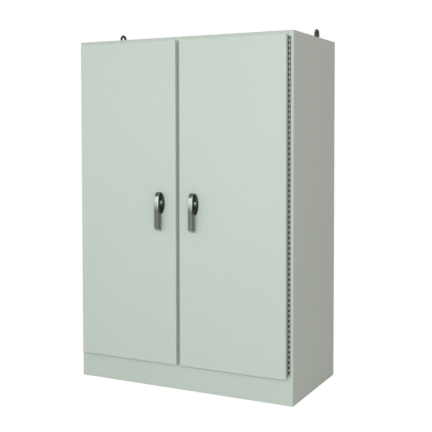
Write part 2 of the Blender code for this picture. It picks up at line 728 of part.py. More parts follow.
def make_guide(name, side, upper, axis):
    """An angle on the door's inner face with a hole that the rod slides through."""
    where = "upper" if upper else "lower"
    sign = 1 if upper else -1
    thick = 0.003
    x = rod_x(side, upper)
    near = SKIN_INSIDE_Y + GAP
    z = roller_z(upper) - sign * GUIDE_OFFSET
    tip = ROD_Y + 0.011
    outline = [
        (near, z), (tip, z), (tip, z + thick), (near + thick, z + thick),
        (near + thick, z + 0.024), (near, z + 0.024),
    ]
    guide = piece(f"{name}_{where}_rod_guide", prism(outline, "X", x - 0.012, x + 0.012), PLATED, axis)
    bore = ROD_RADIUS + GAP
    combine(guide, turned([(bore, z - 0.01), (bore, z + 0.01)], (x, ROD_Y, 0), "Z", 16), "DIFFERENCE")


def make_latch(name, side, door_axis):
    for upper in (True, False):
        where = "upper" if upper else "lower"
        centre = (rod_x(side, upper), ROD_Y, roller_z(upper))
        slide = pivot(f"{name}_{where}_rod_line", centre, door_axis)
        make_rod(name, side, upper, slide)
        make_roller(name, side, upper, pivot(f"{name}_{where}_roller_axis", centre, slide))
        make_guide(name, side, upper, door_axis)


def make_doors():
    for side, name in ((-1, "left"), (1, "right")):
        door_axis = pivot(f"{name}_hinge_axis", (side * HINGE_X, HINGE_Y, 0))
        make_hinge(name, side, door_axis)
        make_door(name, side, door_axis)
        make_gasket(name, side, door_axis)
        make_stiffener(name, side, door_axis)
        make_handle_base(name, side, door_axis)
        make_latch_housing(name, side, door_axis)
        handle_axis = pivot(f"{name}_handle_axis", (side * HANDLE_X, DOOR_FACE_Y, HANDLE_Z), door_axis)
        make_lever(name, side, handle_axis)
        make_cam(name, side, handle_axis)
        plug_axis = pivot(f"{name}_plug_axis", (side * HANDLE_X, DOOR_FACE_Y, HANDLE_Z), handle_axis)
        make_lock_plug(name, side, plug_axis)
        make_latch(name, side, door_axis)
        if side > 0:
            make_pocket(door_axis)


def main():
    clear_scene()
    make_shell()
    make_opening_rim()
    make_centre_post()
    make_floor_anchors()
    make_mounting_panel()
    make_ground_stud()
    make_lifting_eyes()
    make_doors()


main()
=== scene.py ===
"""The looks of a two-door switchboard cabinet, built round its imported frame."""

import json
import math

import bmesh
import bpy
from bpy.props import FloatProperty, FloatVectorProperty, IntProperty, PointerProperty
from mathutils import Matrix, Vector


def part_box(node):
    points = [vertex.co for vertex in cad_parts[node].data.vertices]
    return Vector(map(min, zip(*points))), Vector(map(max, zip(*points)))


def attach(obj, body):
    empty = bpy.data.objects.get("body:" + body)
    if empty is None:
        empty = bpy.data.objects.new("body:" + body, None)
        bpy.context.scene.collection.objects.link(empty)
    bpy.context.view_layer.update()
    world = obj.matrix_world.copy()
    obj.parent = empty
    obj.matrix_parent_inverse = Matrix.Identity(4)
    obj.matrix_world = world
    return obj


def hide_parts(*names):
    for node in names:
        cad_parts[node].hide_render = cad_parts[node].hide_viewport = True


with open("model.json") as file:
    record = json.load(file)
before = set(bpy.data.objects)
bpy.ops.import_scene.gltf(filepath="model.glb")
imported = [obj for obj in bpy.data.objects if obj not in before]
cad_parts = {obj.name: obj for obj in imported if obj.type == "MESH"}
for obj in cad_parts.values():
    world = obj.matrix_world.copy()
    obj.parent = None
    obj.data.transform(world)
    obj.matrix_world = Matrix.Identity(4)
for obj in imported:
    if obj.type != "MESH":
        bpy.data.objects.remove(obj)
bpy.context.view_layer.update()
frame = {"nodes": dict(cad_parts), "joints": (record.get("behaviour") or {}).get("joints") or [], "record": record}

bl_info = {
    "name": "Switchboard Cabinet",
    "version": (1, 0, 0),
    "blender": (4, 5, 0),
    "location": "View3D > Sidebar > Cabinet",
    "description": "Builds the pieces and finishes of a two-door switchboard cabinet",
    "category": "Object",
}

SIDES = ((-1, "left"), (1, "right"))
AXES = {"X": Vector((1, 0, 0)), "Y": Vector((0, 1, 0)), "Z": Vector((0, 0, 1))}

# Planes and edges of the welded body
SIDE_LOW, SIDE_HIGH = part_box("right_side_panel")
ROOF_LOW, ROOF_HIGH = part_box("roof_panel")
HALF_WIDTH = SIDE_HIGH.x
FRONT_Y = SIDE_LOW.y
REAR_Y = SIDE_HIGH.y
SHEET = ROOF_HIGH.z - ROOF_LOW.z
ROOF_SEAT = SIDE_HIGH.z
OPENING_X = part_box("right_front_stile")[0].x
OPENING_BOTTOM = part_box("front_kick_panel")[1].z
OPENING_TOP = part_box("front_header")[0].z
COLLAR_TIP_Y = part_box("front_header")[0].y

# The right door, mirrored for the left one
DOOR_LOW, DOOR_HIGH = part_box("right_door")

# A lever's flat grip from its lower end, and the height of its domed head
GRIP_LENGTH = 0.094
HEAD_RISE = 0.030

# Smaller sizes that more than one step uses
SAME = 1e-6
SHARPEST_CORNER = 0.0006
REAR_RETURN = 0.028
TOE_BEND = 0.0030
WELD_GAP = 0.0003
HUB_HOLE = 0.0105

# A lock plug: how far it stands out of the lever, and its keyway's half width, half height and depth
PLUG_STANDS_OUT = 0.0012
KEYWAY = (0.0008, 0.0034)
KEYWAY_DEPTH = 0.0008

# The lights: name, place, width and height, colour
LIGHTS = (
    ("key_light", (1.4, -5.4, 2.1), (5.2, 2.2), (0.884, 1.0, 1.008)),
    ("side_light", (5.0, 1.0, 0.7), (3.0, 1.8), (1.0, 0.92, 0.88)),
    ("left_light", (-2.7, -5.0, 1.85), (1.5, 1.2), (1.0, 0.94, 0.94)),
)

# The axes of the moving pieces
JOINTS = {joint["name"]: joint for joint in frame["joints"]}
HINGE_AXIS = Vector(JOINTS["right_door_hinge"]["pos_m"])
HANDLE_AXIS = Vector(JOINTS["right_handle_turn"]["pos_m"])


# ---------------------------------------------------------------- settings


class CabinetSizes(bpy.types.PropertyGroup):
    """Sizes of the details that the frame doesn't fix."""

    body_bend: FloatProperty(
        name="Body bend", description="Outer radius of the body's folds",
        default=0.0045, min=0.003, max=0.012, unit="LENGTH",
    )
    door_bend: FloatProperty(
        name="Door bend", description="Outer radius of the doors' folds",
        default=0.0040, min=0.0025, max=0.010, unit="LENGTH",
    )
    door_corner: FloatProperty(
        name="Door corner", description="Radius of the doors' corners seen from the front",
        default=0.0080, min=0.002, max=0.03, unit="LENGTH",
    )
    door_sheet: FloatProperty(
        name="Door sheet", description="Thickness of the doors' sheet",
        default=0.0020, min=0.001, max=0.003, unit="LENGTH",
    )
    door_lip: FloatProperty(
        name="Door lip", description="Width of the lip folded in at the back of a door",
        default=0.0120, min=0.005, max=0.02, unit="LENGTH",
    )
    knuckle_pitch: FloatProperty(
        name="Knuckle pitch", description="Length of one pair of hinge knuckles",
        default=0.0254, min=0.015, max=0.06, unit="LENGTH",
    )
    knuckle_gap: FloatProperty(
        name="Knuckle gap", description="Gap between two knuckles",
        default=0.0014, min=0.0002, max=0.003, unit="LENGTH",
    )
    leaf_sheet: FloatProperty(
        name="Leaf sheet", description="Thickness of the hinge leaves",
        default=0.0020, min=0.001, max=0.003, unit="LENGTH",
    )
    hub_radius: FloatProperty(
        name="Hub radius", description="Radius of the hub between a lever and its base",
        default=0.0123, min=0.008, max=0.02, unit="LENGTH",
    )
    lever_width: FloatProperty(
        name="Lever width", description="Width of the levers",
        default=0.0234, min=0.015, max=0.024, unit="LENGTH",
    )
    lever_bow: FloatProperty(
        name="Lever bow", description="How far a lever's face falls back at its head",
        default=0.0055, min=0.0, max=0.012, unit="LENGTH",
    )
    round_sides: IntProperty(
        name="Round sides", description="Segments round the hubs, lock plugs and rollers",
        default=48, min=16, max=96,
    )


class CabinetColours(bpy.types.PropertyGroup):
    """Colours of the finishes, as linear values."""

    enamel: FloatVectorProperty(
        name="Enamel", description="Powder coat of the body and doors",
        default=(0.625, 0.694, 0.628), subtype="COLOR", min=0, max=1,
    )
    panel: FloatVectorProperty(
        name="Panel enamel", description="Powder coat of the mounting panel",
        default=(0.80, 0.80, 0.77), subtype="COLOR", min=0, max=1,
    )
    chrome: FloatVectorProperty(
        name="Chrome", description="Plating of the levers and lock plugs",
        default=(0.365, 0.415, 0.375), subtype="COLOR", min=0, max=1,
    )
    # Unpolished plating on the flanks and back; the domes' upward faces take it too, as painted shade on top of
    # the heads.
    dull_plate: FloatVectorProperty(
        name="Dull plate", description="Unpolished plating on the levers' flanks",
        default=(0.215, 0.210, 0.185), subtype="COLOR", min=0, max=1,
    )
    # Also painted into the lock plugs' keyways, as shade.
    handle_base: FloatVectorProperty(
        name="Handle base", description="Moulded bases of the handles",
        default=(0.012, 0.012, 0.011), subtype="COLOR", min=0, max=1,
    )
    zinc: FloatVectorProperty(
        name="Zinc", description="Plating of the latch parts and fasteners",
        default=(0.56, 0.57, 0.58), subtype="COLOR", min=0, max=1,
    )
    # Painted shade: the body's enamel darkened so the door leaves' knuckles read as shaded in the strip between
    # door and side.
    leaf_enamel: FloatVectorProperty(
        name="Leaf enamel", description="Thin powder coat on the hinges' door leaves",
        default=(0.36, 0.39, 0.345), subtype="COLOR", min=0, max=1,
    )
    # Painted light: the body's enamel made lighter so the gap between the doors, where the post shows, reads
    # brighter.
    post_enamel: FloatVectorProperty(
        name="Post enamel", description="Powder coat of the centre post",
        default=(0.66, 0.70, 0.65), subtype="COLOR", min=0, max=1,
    )
    # Bare steel, darkened past its own colour as painted shade for the gaps between the knuckles.
    hinge_steel: FloatVectorProperty(
        name="Hinge steel", description="Bare steel of the hinges' body leaves and pins",
        default=(0.14, 0.134, 0.12), subtype="COLOR", min=0, max=1,
    )
    forged_steel: FloatVectorProperty(
        name="Forged steel", description="Dark scale of the lifting eyes",
        default=(0.085, 0.085, 0.080), subtype="COLOR", min=0, max=1,
    )
    nylon: FloatVectorProperty(
        name="Nylon", description="Latch rollers",
        default=(0.66, 0.63, 0.54), subtype="COLOR", min=0, max=1,
    )
    foam: FloatVectorProperty(
        name="Foam", description="Door gaskets",
        default=(0.018, 0.018, 0.018), subtype="COLOR", min=0, max=1,
    )
    brass: FloatVectorProperty(
        name="Brass", description="Earth stud",
        default=(0.60, 0.42, 0.15), subtype="COLOR", min=0, max=1,
    )
    pocket: FloatVectorProperty(
        name="Pocket", description="Moulded drawing pocket",
        default=(0.15, 0.155, 0.155), subtype="COLOR", min=0, max=1,
    )


class CabinetStage(bpy.types.PropertyGroup):
    """The camera's place and the lights' power."""

    camera_place: FloatVectorProperty(
        name="Camera", description="Where the camera stands",
        default=(2.084, -4.014, 1.328), subtype="TRANSLATION", unit="LENGTH",
    )
    camera_turn: FloatVectorProperty(
        name="Camera turn", description="Pitch up, roll and heading of the camera",
        default=tuple(math.radians(a) for a in (-2.262, -0.076, 26.644)), subtype="EULER",
    )
    lens: FloatProperty(name="Lens", description="Focal length in mm", default=69.288, min=20, max=200)
    camera_shift: FloatProperty(
        name="Shift", description="Vertical shift of the lens", default=-0.1124, min=-0.5, max=0.5,
    )
    key_power: FloatProperty(name="Key", description="Watts of the front light", default=151, min=0)
    side_power: FloatProperty(name="Side", description="Watts of the side light", default=7, min=0)
    left_power: FloatProperty(
        name="Left", description="Watts of the dim light on the left", default=11.5, min=0,
    )
    surround: FloatProperty(
        name="Surround", description="Strength of the soft surround", default=0.50, min=0,
    )


def sizes():
    return bpy.context.scene.cabinet_sizes


def colours():
    return bpy.context.scene.cabinet_colours


# ---------------------------------------------------------------- finishes


class Shader:
    """A material's node tree, with short ways to add the nodes that the finishes share."""

    def __init__(self, name, colour, roughness, metallic=0.0):
        self.material = bpy.data.materials.new(name)
        self.material.use_nodes = True
        self.tree = self.material.node_tree
        self.surface = self.tree.nodes["Principled BSDF"]
        self.surface.inputs["Base Color"].default_value = (*colour, 1.0)
        self.surface.inputs["Roughness"].default_value = roughness
        self.surface.inputs["Metallic"].default_value = metallic
        self.material.diffuse_color = (*colour, 1.0)
        self.place = self.tree.nodes.new("ShaderNodeTexCoord").outputs["Object"]

    def node(self, kind, **values):
        made = self.tree.nodes.new(kind)
        for key, value in values.items():
            if key in made.inputs:
                made.inputs[key].default_value = value
            else:
                setattr(made, key, value)
        return made

    def link(self, source, target):
        self.tree.links.new(source, target)

    def stretched(self, scale):
        """Object coordinates stretched for a grain that runs one way."""
        mapping = self.node("ShaderNodeMapping", Scale=scale)
        self.link(self.place, mapping.inputs["Vector"])
        return mapping.outputs["Vector"]

    def noise(self, scale, detail=2.0, roughness=0.5, place=None):
        made = self.node("ShaderNodeTexNoise", Scale=scale, Detail=detail, Roughness=roughness)
        self.link(place or self.place, made.inputs["Vector"])
        return made.outputs["Fac"]

    def cells(self, scale):
        made = self.node("ShaderNodeTexVoronoi", Scale=scale)
        self.link(self.place, made.inputs["Vector"])
        return made.outputs["Distance"]

    def remapped(self, value, low, high, start=0.3, end=0.7):
        made = self.node("ShaderNodeMapRange")
        made.inputs["From Min"].default_value = start
        made.inputs["From Max"].default_value = end
        made.inputs["To Min"].default_value = low
        made.inputs["To Max"].default_value = high
        self.link(value, made.inputs["Value"])
        return made.outputs["Result"]

    def mixed(self, factor, first, second):
        """A colour that goes from first to second. Each may be a colour or another node's output."""
        made = self.node("ShaderNodeMix", data_type="RGBA")
        self.link(factor, made.inputs["Factor"])
        for index, value in ((6, first), (7, second)):
            if isinstance(value, bpy.types.NodeSocket):
                self.link(value, made.inputs[index])
            else:
                made.inputs[index].default_value = (*value, 1.0)
        return made.outputs[2]

    def colour_from(self, value):
        self.link(value, self.surface.inputs["Base Color"])

    def roughness_from(self, value):
        self.link(value, self.surface.inputs["Roughness"])

    def bump(self, height, distance, strength, under=None):
        made = self.node("ShaderNodeBump", Strength=strength, Distance=distance)
        self.link(height, made.inputs["Height"])
        if under:
            self.link(under, made.inputs["Normal"])
        return made.outputs["Normal"]

    def normal_from(self, value):
        self.link(value, self.surface.inputs["Normal"])


def scaled(colour, factor):
    return tuple(min(1.0, channel * factor) for channel in colour)


def powder_coat(name, colour):
    """Baked powder: a low orange peel over a fine grain, with a faint drift in depth of colour."""
    made = Shader(name, colour, 0.42)
    drift = made.remapped(made.noise(2.4, 3.0), 0.0, 1.0, 0.25, 0.75)
    speckle = made.remapped(made.noise(900.0, 2.0), 0.0, 1.0, 0.30, 0.70)
    broad = made.mixed(drift, scaled(colour, 0.985), scaled(colour, 1.012))
    fine = made.mixed(drift, scaled(colour, 0.965), scaled(colour, 0.992))
    made.colour_from(made.mixed(speckle, fine, broad))
    made.roughness_from(made.remapped(made.noise(38.0, 4.0), 0.44, 0.55))
    grain = made.bump(made.noise(1600.0, 1.0), 0.00006, 0.5)
    made.normal_from(made.bump(made.noise(330.0, 2.0, 0.4), 0.00022, 0.55, grain))
    made.surface.inputs["Specular IOR Level"].default_value = 0.45
    made.surface.inputs["Coat Weight"].default_value = 0.06
    made.surface.inputs["Coat Roughness"].default_value = 0.30
    return made.material


def chrome_plate(name, colour):
    """Polished plating with hairline marks along its length and faint smears."""
    made = Shader(name, colour, 0.16, 1.0)
    hairs = made.noise(900.0, 3.0, 0.6, made.stretched((1.0, 1.0, 0.03)))
    smears = made.noise(45.0, 4.0, 0.6)
    made.roughness_from(made.remapped(smears, 0.16, 0.25))
    share = made.remapped(smears, 0.0, 1.0)
    made.colour_from(made.mixed(share, scaled(colour, 0.93), scaled(colour, 1.05)))
    made.normal_from(made.bump(hairs, 0.00003, 0.5))
    return made.material


def moulded_black(name, colour):
    """Black moulding with a fine spark-eroded grain and a soft gloss."""
    made = Shader(name, colour, 0.34)
    made.roughness_from(made.remapped(made.noise(120.0, 4.0), 0.27, 0.42))
    made.colour_from(made.mixed(made.noise(60.0, 3.0), scaled(colour, 0.8), scaled(colour, 1.5)))
    made.normal_from(made.bump(made.noise(2200.0, 2.0), 0.00005, 0.6))
    return made.material


def zinc_plate(name, colour):
    """Bright zinc with the cloudy tints that passivating leaves."""
    made = Shader(name, colour, 0.34, 1.0)
    cloud = made.remapped(made.noise(70.0, 4.0, 0.6), 0.0, 1.0, 0.35, 0.65)
    cool = (colour[0] * 0.92, colour[1] * 0.98, colour[2] * 1.06)
    warm = (colour[0] * 1.08, colour[1] * 1.02, colour[2] * 0.86)
    made.colour_from(made.mixed(cloud, cool, warm))
    made.roughness_from(made.remapped(made.noise(260.0, 3.0), 0.28, 0.44))
    made.normal_from(made.bump(made.noise(1400.0, 2.0), 0.00004, 0.5))
    return made.material


def rolled_steel(name, colour):
    """Bare rolled steel, oiled, with a grain along Z."""
    made = Shader(name, colour, 0.42, 0.85)
    grain = made.noise(700.0, 4.0, 0.6, made.stretched((1.0, 1.0, 0.08)))
    oil = made.noise(55.0, 4.0, 0.6)
    share = made.remapped(oil, 0.0, 1.0)
    made.colour_from(made.mixed(share, scaled(colour, 0.75), scaled(colour, 1.15)))
    made.roughness_from(made.remapped(oil, 0.34, 0.54))
    made.normal_from(made.bump(grain, 0.00005, 0.6))
    return made.material


def forged_steel(name, colour):
    """Drop-forged steel under dark scale, pitted, and rubbed brighter here and there."""
    made = Shader(name, colour, 0.50, 0.7)
    pits = made.noise(420.0, 4.0, 0.6)
    rub = made.remapped(made.noise(90.0, 3.0, 0.6), 0.0, 1.0, 0.52, 0.72)
    made.colour_from(made.mixed(rub, colour, scaled(colour, 3.2)))
    made.roughness_from(made.remapped(pits, 0.38, 0.60))
    made.normal_from(made.bump(pits, 0.00030, 0.7))
    return made.material


def turned_nylon(name, colour):
    made = Shader(name, colour, 0.50)
    rings = made.noise(900.0, 2.0, 0.5, made.stretched((4.0, 1.0, 1.0)))
    made.colour_from(made.mixed(made.noise(80.0, 3.0), scaled(colour, 0.90), scaled(colour, 1.06)))
    made.roughness_from(made.remapped(made.noise(200.0, 3.0), 0.42, 0.58))
    made.normal_from(made.bump(rings, 0.00004, 0.6))
    made.surface.inputs["Subsurface Weight"].default_value = 0.08
    made.surface.inputs["Subsurface Radius"].default_value = (0.002, 0.0018, 0.0012)
    return made.material


def foamed_rubber(name, colour):
    """Poured foam with a skin of fine burst cells."""
    made = Shader(name, colour, 0.88)
    cells = made.cells(1500.0)
    made.colour_from(made.mixed(made.noise(300.0, 3.0), scaled(colour, 0.7), scaled(colour, 1.7)))
    made.roughness_from(made.remapped(made.noise(500.0, 2.0), 0.80, 0.96))
    swell = made.bump(made.noise(60.0, 2.0), 0.0006, 0.5)
    made.normal_from(made.bump(cells, 0.00018, 0.6, swell))
    made.surface.inputs["Specular IOR Level"].default_value = 0.25
    return made.material


def turned_brass(name, colour):
    made = Shader(name, colour, 0.32, 1.0)
    dull = made.remapped(made.noise(160.0, 4.0, 0.6), 0.0, 1.0, 0.40, 0.65)
    made.colour_from(made.mixed(dull, colour, (colour[0] * 0.62, colour[1] * 0.55, colour[2] * 0.55)))
    made.roughness_from(made.remapped(made.noise(320.0, 3.0), 0.24, 0.42))
    made.normal_from(made.bump(made.noise(1500.0, 2.0), 0.00004, 0.5))
    return made.material


def moulded_grey(name, colour):
    """Thermoformed plastic with a leathery grain."""
    made = Shader(name, colour, 0.55)
    made.colour_from(made.mixed(made.noise(40.0, 4.0), scaled(colour, 0.88), scaled(colour, 1.10)))
    made.roughness_from(made.remapped(made.noise(150.0, 3.0), 0.48, 0.64))
    made.normal_from(made.bump(made.cells(700.0), 0.00010, 0.6))
    return made.material


FINISH_MAKERS = {
    "enamel": (powder_coat, "enamel"),
    "white_enamel": (powder_coat, "panel"),
    "chrome": (chrome_plate, "chrome"),
    "dull_plate": (rolled_steel, "dull_plate"),
    "black_base": (moulded_black, "handle_base"),
    "zinc_plate": (zinc_plate, "zinc"),
    "hinge_steel": (rolled_steel, "hinge_steel"),
    "leaf_enamel": (powder_coat, "leaf_enamel"),
    "post_enamel": (powder_coat, "post_enamel"),
    "forged_steel": (forged_steel, "forged_steel"),
    "nylon": (turned_nylon, "nylon"),
    "gasket": (foamed_rubber, "foam"),
    "brass": (turned_brass, "brass"),
    "pocket": (moulded_grey, "pocket"),
}
RECORD_SLOTS = {row["node"]: row["material_slot"] for row in frame["record"]["subparts"]}


def finish(name):
    """The material of a finish, made the first time it is asked for."""
    known = f"{name}_finish"
    made = bpy.data.materials.get(known)
    if made is None:
        maker, colour = FINISH_MAKERS[name]
        made = maker(known, tuple(getattr(colours(), colour)))
    return made


# ---------------------------------------------------------------- shapes


def block(x, y, z):
    """A block between the limits (low, high) along X, Y and Z."""
    solid = bmesh.new()
    place = Matrix.Translation([(low + high) / 2 for low, high in (x, y, z)])
    stretch = Matrix.Diagonal((*[high - low for low, high in (x, y, z)], 1.0))
    bmesh.ops.create_cube(solid, size=1.0, matrix=place @ stretch)
    return solid


def set_in_plane(outline, axis, at):
    """Puts (u, v) points in the plane across an axis. u and v are the other two axes in order."""
    placed = []
    for u, v in outline:
        point = [u, v]
        point.insert("XYZ".index(axis), at)
        placed.append(Vector(point))
    return placed


def extruded(outline, axis, low, high, into=None):
    """A closed outline pulled along an axis."""
    solid = into or bmesh.new()
    face = solid.faces.new([solid.verts.new(point) for point in set_in_plane(outline, axis, low)])
    grown = bmesh.ops.extrude_face_region(solid, geom=[face])
    moved = [item for item in grown["geom"] if isinstance(item, bmesh.types.BMVert)]
    bmesh.ops.translate(solid, verts=moved, vec=AXES[axis] * (high - low))
    return solid


def folded(path, axis, low, high, bend, segments=5):
    """A sheet folded along an open path, as a surface. Its thickness comes from Solidify."""
    solid = bmesh.new()
    points = [solid.verts.new(point) for point in set_in_plane(path, axis, low)]
    edges = [solid.edges.new(pair) for pair in zip(points, points[1:])]
    grown = bmesh.ops.extrude_edge_only(solid, edges=edges)
    moved = [item for item in grown["geom"] if isinstance(item, bmesh.types.BMVert)]
    bmesh.ops.translate(solid, verts=moved, vec=AXES[axis] * (high - low))
    bevelled(solid, [edge for edge in solid.edges if len(edge.link_faces) == 2], bend, segments)
    return solid


def bevelled(solid, edges, width, segments):
    bmesh.ops.bevel(
        solid, geom=edges, offset=width, offset_type="OFFSET", segments=segments, profile=0.5,
        affect="EDGES", clamp_overlap=True, material=-1, loop_slide=True,
    )


def turned(profile, centre, axis, sides, into=None):
    """A solid of revolution from (radius, distance along the axis) steps, closed at both ends."""
    steps = [(0.0, profile[0][1]), *profile, (0.0, profile[-1][1])]
    own = bmesh.new()
    points = profile_points(own, steps, centre, axis)
    spun(own, zip(points, points[1:]), centre, axis, sides)
    return joined(into or bmesh.new(), own)


def annulus(profile, centre, axis, sides):
    """A closed ring from a profile that stays clear of the axis."""
    own = bmesh.new()
    points = profile_points(own, profile, centre, axis)
    spun(own, zip(points, points[1:] + points[:1]), centre, axis, sides)
    return own


def profile_points(solid, steps, centre, axis):
    """A vertex at each (radius, distance along the axis) step."""
    across = AXES["Z"] if axis != "Z" else AXES["X"]
    return [
        solid.verts.new(Vector(centre) + AXES[axis] * distance + across * radius)
        for radius, distance in steps
    ]


def spun(solid, pairs, centre, axis, sides):
    """Joins vertices by pairs and spins them a full turn round an axis through the centre."""
    for pair in pairs:
        solid.edges.new(pair)
    bmesh.ops.spin(
        solid, geom=solid.verts[:] + solid.edges[:], cent=centre, axis=AXES[axis],
        angle=math.tau, steps=sides, use_merge=True,
    )
    bmesh.ops.remove_doubles(solid, verts=solid.verts, dist=SAME)
    bmesh.ops.recalc_face_normals(solid, faces=solid.faces)


def joined(solid, other):
    """Adds one bmesh to another and frees it."""
    mesh = bpy.data.meshes.new("part")
    other.to_mesh(mesh)
    other.free()
    solid.from_mesh(mesh)
    bpy.data.meshes.remove(mesh)
    return solid


def lofted(solid, rings, closed=False):
    """Walls from each ring of points to the next. Returns the first and last rings of edges."""
    verts = [solid.verts.new(point) for point in rings[0]]
    first = last = [solid.edges.new(pair) for pair in zip(verts, verts[1:] + verts[:1])]
    for points in rings[1:] + (rings[:1] if closed else []):
        grown = bmesh.ops.extrude_edge_only(solid, edges=last)["geom"]
        fresh = {item for item in grown if isinstance(item, bmesh.types.BMVert)}
        verts = [
            next(edge.other_vert(vert) for edge in vert.link_edges if edge.other_vert(vert) in fresh)
            for vert in verts
        ]
        for vert, point in zip(verts, points):
            vert.co = point
        last = [solid.edges.get(pair) for pair in zip(verts, verts[1:] + verts[:1])]
    if closed:
        bmesh.ops.remove_doubles(solid, verts=solid.verts, dist=1e-7)
    return first, last


def filled(solid, *loops):
    """A flat face inside the first loop and outside the others."""
    bmesh.ops.triangle_fill(solid, edges=[edge for ring in loops for edge in ring], use_beauty=True)


def arc(centre, radius, start, end, steps):
    """Points on an arc, with its angles in degrees."""
    angles = [math.radians(start + (end - start) * k / steps) for k in range(steps + 1)]
    return [(centre[0] + radius * math.cos(a), centre[1] + radius * math.sin(a)) for a in angles]


def framed(box_u, box_v, corner, path):
    """Rounded rectangles across Y at each (inset, depth). Insets sharpen the corners."""
    rings = []
    for inset, depth in path:
        outline = rounded_rectangle(
            box_u[0] + inset, box_u[1] - inset, box_v[0] + inset, box_v[1] - inset,
            max(corner - inset, SHARPEST_CORNER), 8,
        )
        rings.append(set_in_plane(outline, "Y", depth))
    return rings


def rounded_rectangle(u0, u1, v0, v1, radius, steps):
    points = []
    corners = ((u1, v1, 0), (u0, v1, 90), (u0, v0, 180), (u1, v0, 270))
    for cu, cv, start in corners:
        mu = cu - radius if cu == u1 else cu + radius
        mv = cv - radius if cv == v1 else cv + radius
        for k in range(steps + 1):
            angle = math.radians(start + 90 * k / steps)
            points.append((mu + radius * math.cos(angle), mv + radius * math.sin(angle)))
    return points


def ellipse(u, v, half_u, half_v, steps=64):
    turn = math.tau / steps
    return [(u + half_u * math.cos(k * turn), v + half_v * math.sin(k * turn)) for k in range(steps)]


def hexagon(u, v, across_flats):
    radius = across_flats / math.sqrt(3)
    return ellipse(u, v, radius, radius, 6)


def mirrored(outline, side):
    return [(side * u, v) for u, v in outline]


def piece(name, solid, look, body, stands_for=(), sheet=0.0, soften=0.0, segments=2, sharp=38):
    """Makes a finished piece from a bmesh drawn in place, and puts it on its body."""
    if not sheet:
        bmesh.ops.recalc_face_normals(solid, faces=solid.faces)
    mesh = bpy.data.meshes.new(name)
    solid.to_mesh(mesh)
    solid.free()
    made = bpy.data.objects.new(name, mesh)
    bpy.context.scene.collection.objects.link(made)
    mesh.materials.append(finish(look))
    mesh.shade_smooth()
    mesh.set_sharp_from_angle(angle=math.radians(sharp))
    if sheet:
        thicken(made, sheet)
    if soften:
        soften_edges(made, soften, segments)
    made.modifiers.new("Even normals", "WEIGHTED_NORMAL").keep_sharp = True
    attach(made, body)
    if stands_for:
        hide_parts(*stands_for)
    return made


def fastener(name, solid, body):
    """Small plated hardware that stands for no node of its own."""
    piece(name, solid, "zinc_plate", body)


def thicken(made, sheet):
    """Gives a folded surface its thickness, on the side away from its normals."""
    solidify = made.modifiers.new("Sheet", "SOLIDIFY")
    solidify.thickness = abs(sheet)
    solidify.offset = -1.0 if sheet > 0 else 1.0
    solidify.use_even_offset = True
    solidify.use_rim = True


def soften_edges(made, width, segments):
    bevel = made.modifiers.new("Soft edges", "BEVEL")
    bevel.width = width
    bevel.segments = segments
    bevel.limit_method = "ANGLE"
    bevel.angle_limit = math.radians(38)
    bevel.miter_outer = "MITER_ARC"
    bevel.harden_normals = False


def copied(node):
    """A CAD node's mesh as a bmesh, with its loose triangles merged into clean faces."""
    solid = bmesh.new()
    solid.from_mesh(frame["nodes"][node].data)
    bmesh.ops.remove_doubles(solid, verts=solid.verts, dist=2e-6)
    bmesh.ops.dissolve_limit(
        solid, angle_limit=math.radians(0.5), verts=solid.verts[:], edges=solid.edges[:],
    )
    return solid


def body_of_node(node):
    return next(name for name, nodes in frame["record"]["behaviour"]["bodies"].items() if node in nodes)


def refined(node, look=None, soften=0.0006, segments=2):
    """Stands for a CAD node whose shape is right, with its edges broken and a full finish."""
    piece(
        f"{node}_detail", copied(node), look or RECORD_SLOTS[node], body_of_node(node),
        (node,), soften=soften, segments=segments,
    )


def nut(centre, axis, across_flats, thick, into=None):
    """A hexagon nut or head with its corners turned down."""
    index = "XYZ".index(axis)
    flat = [value for k, value in enumerate(centre) if k != index]
    outline = hexagon(flat[0], flat[1], across_flats)
    own = extruded(outline, axis, centre[index], centre[index] + thick)
    ends = [edge for edge in own.edges if abs(along(edge, axis)) < SAME]
    bevelled(own, ends, across_flats * 0.045, 2)
    return joined(into or bmesh.new(), own)


def along(edge, axis):
    """How far an edge runs along an axis."""
    return (edge.verts[0].co - edge.verts[1].co).dot(AXES[axis])


# ---------------------------------------------------------------- operators


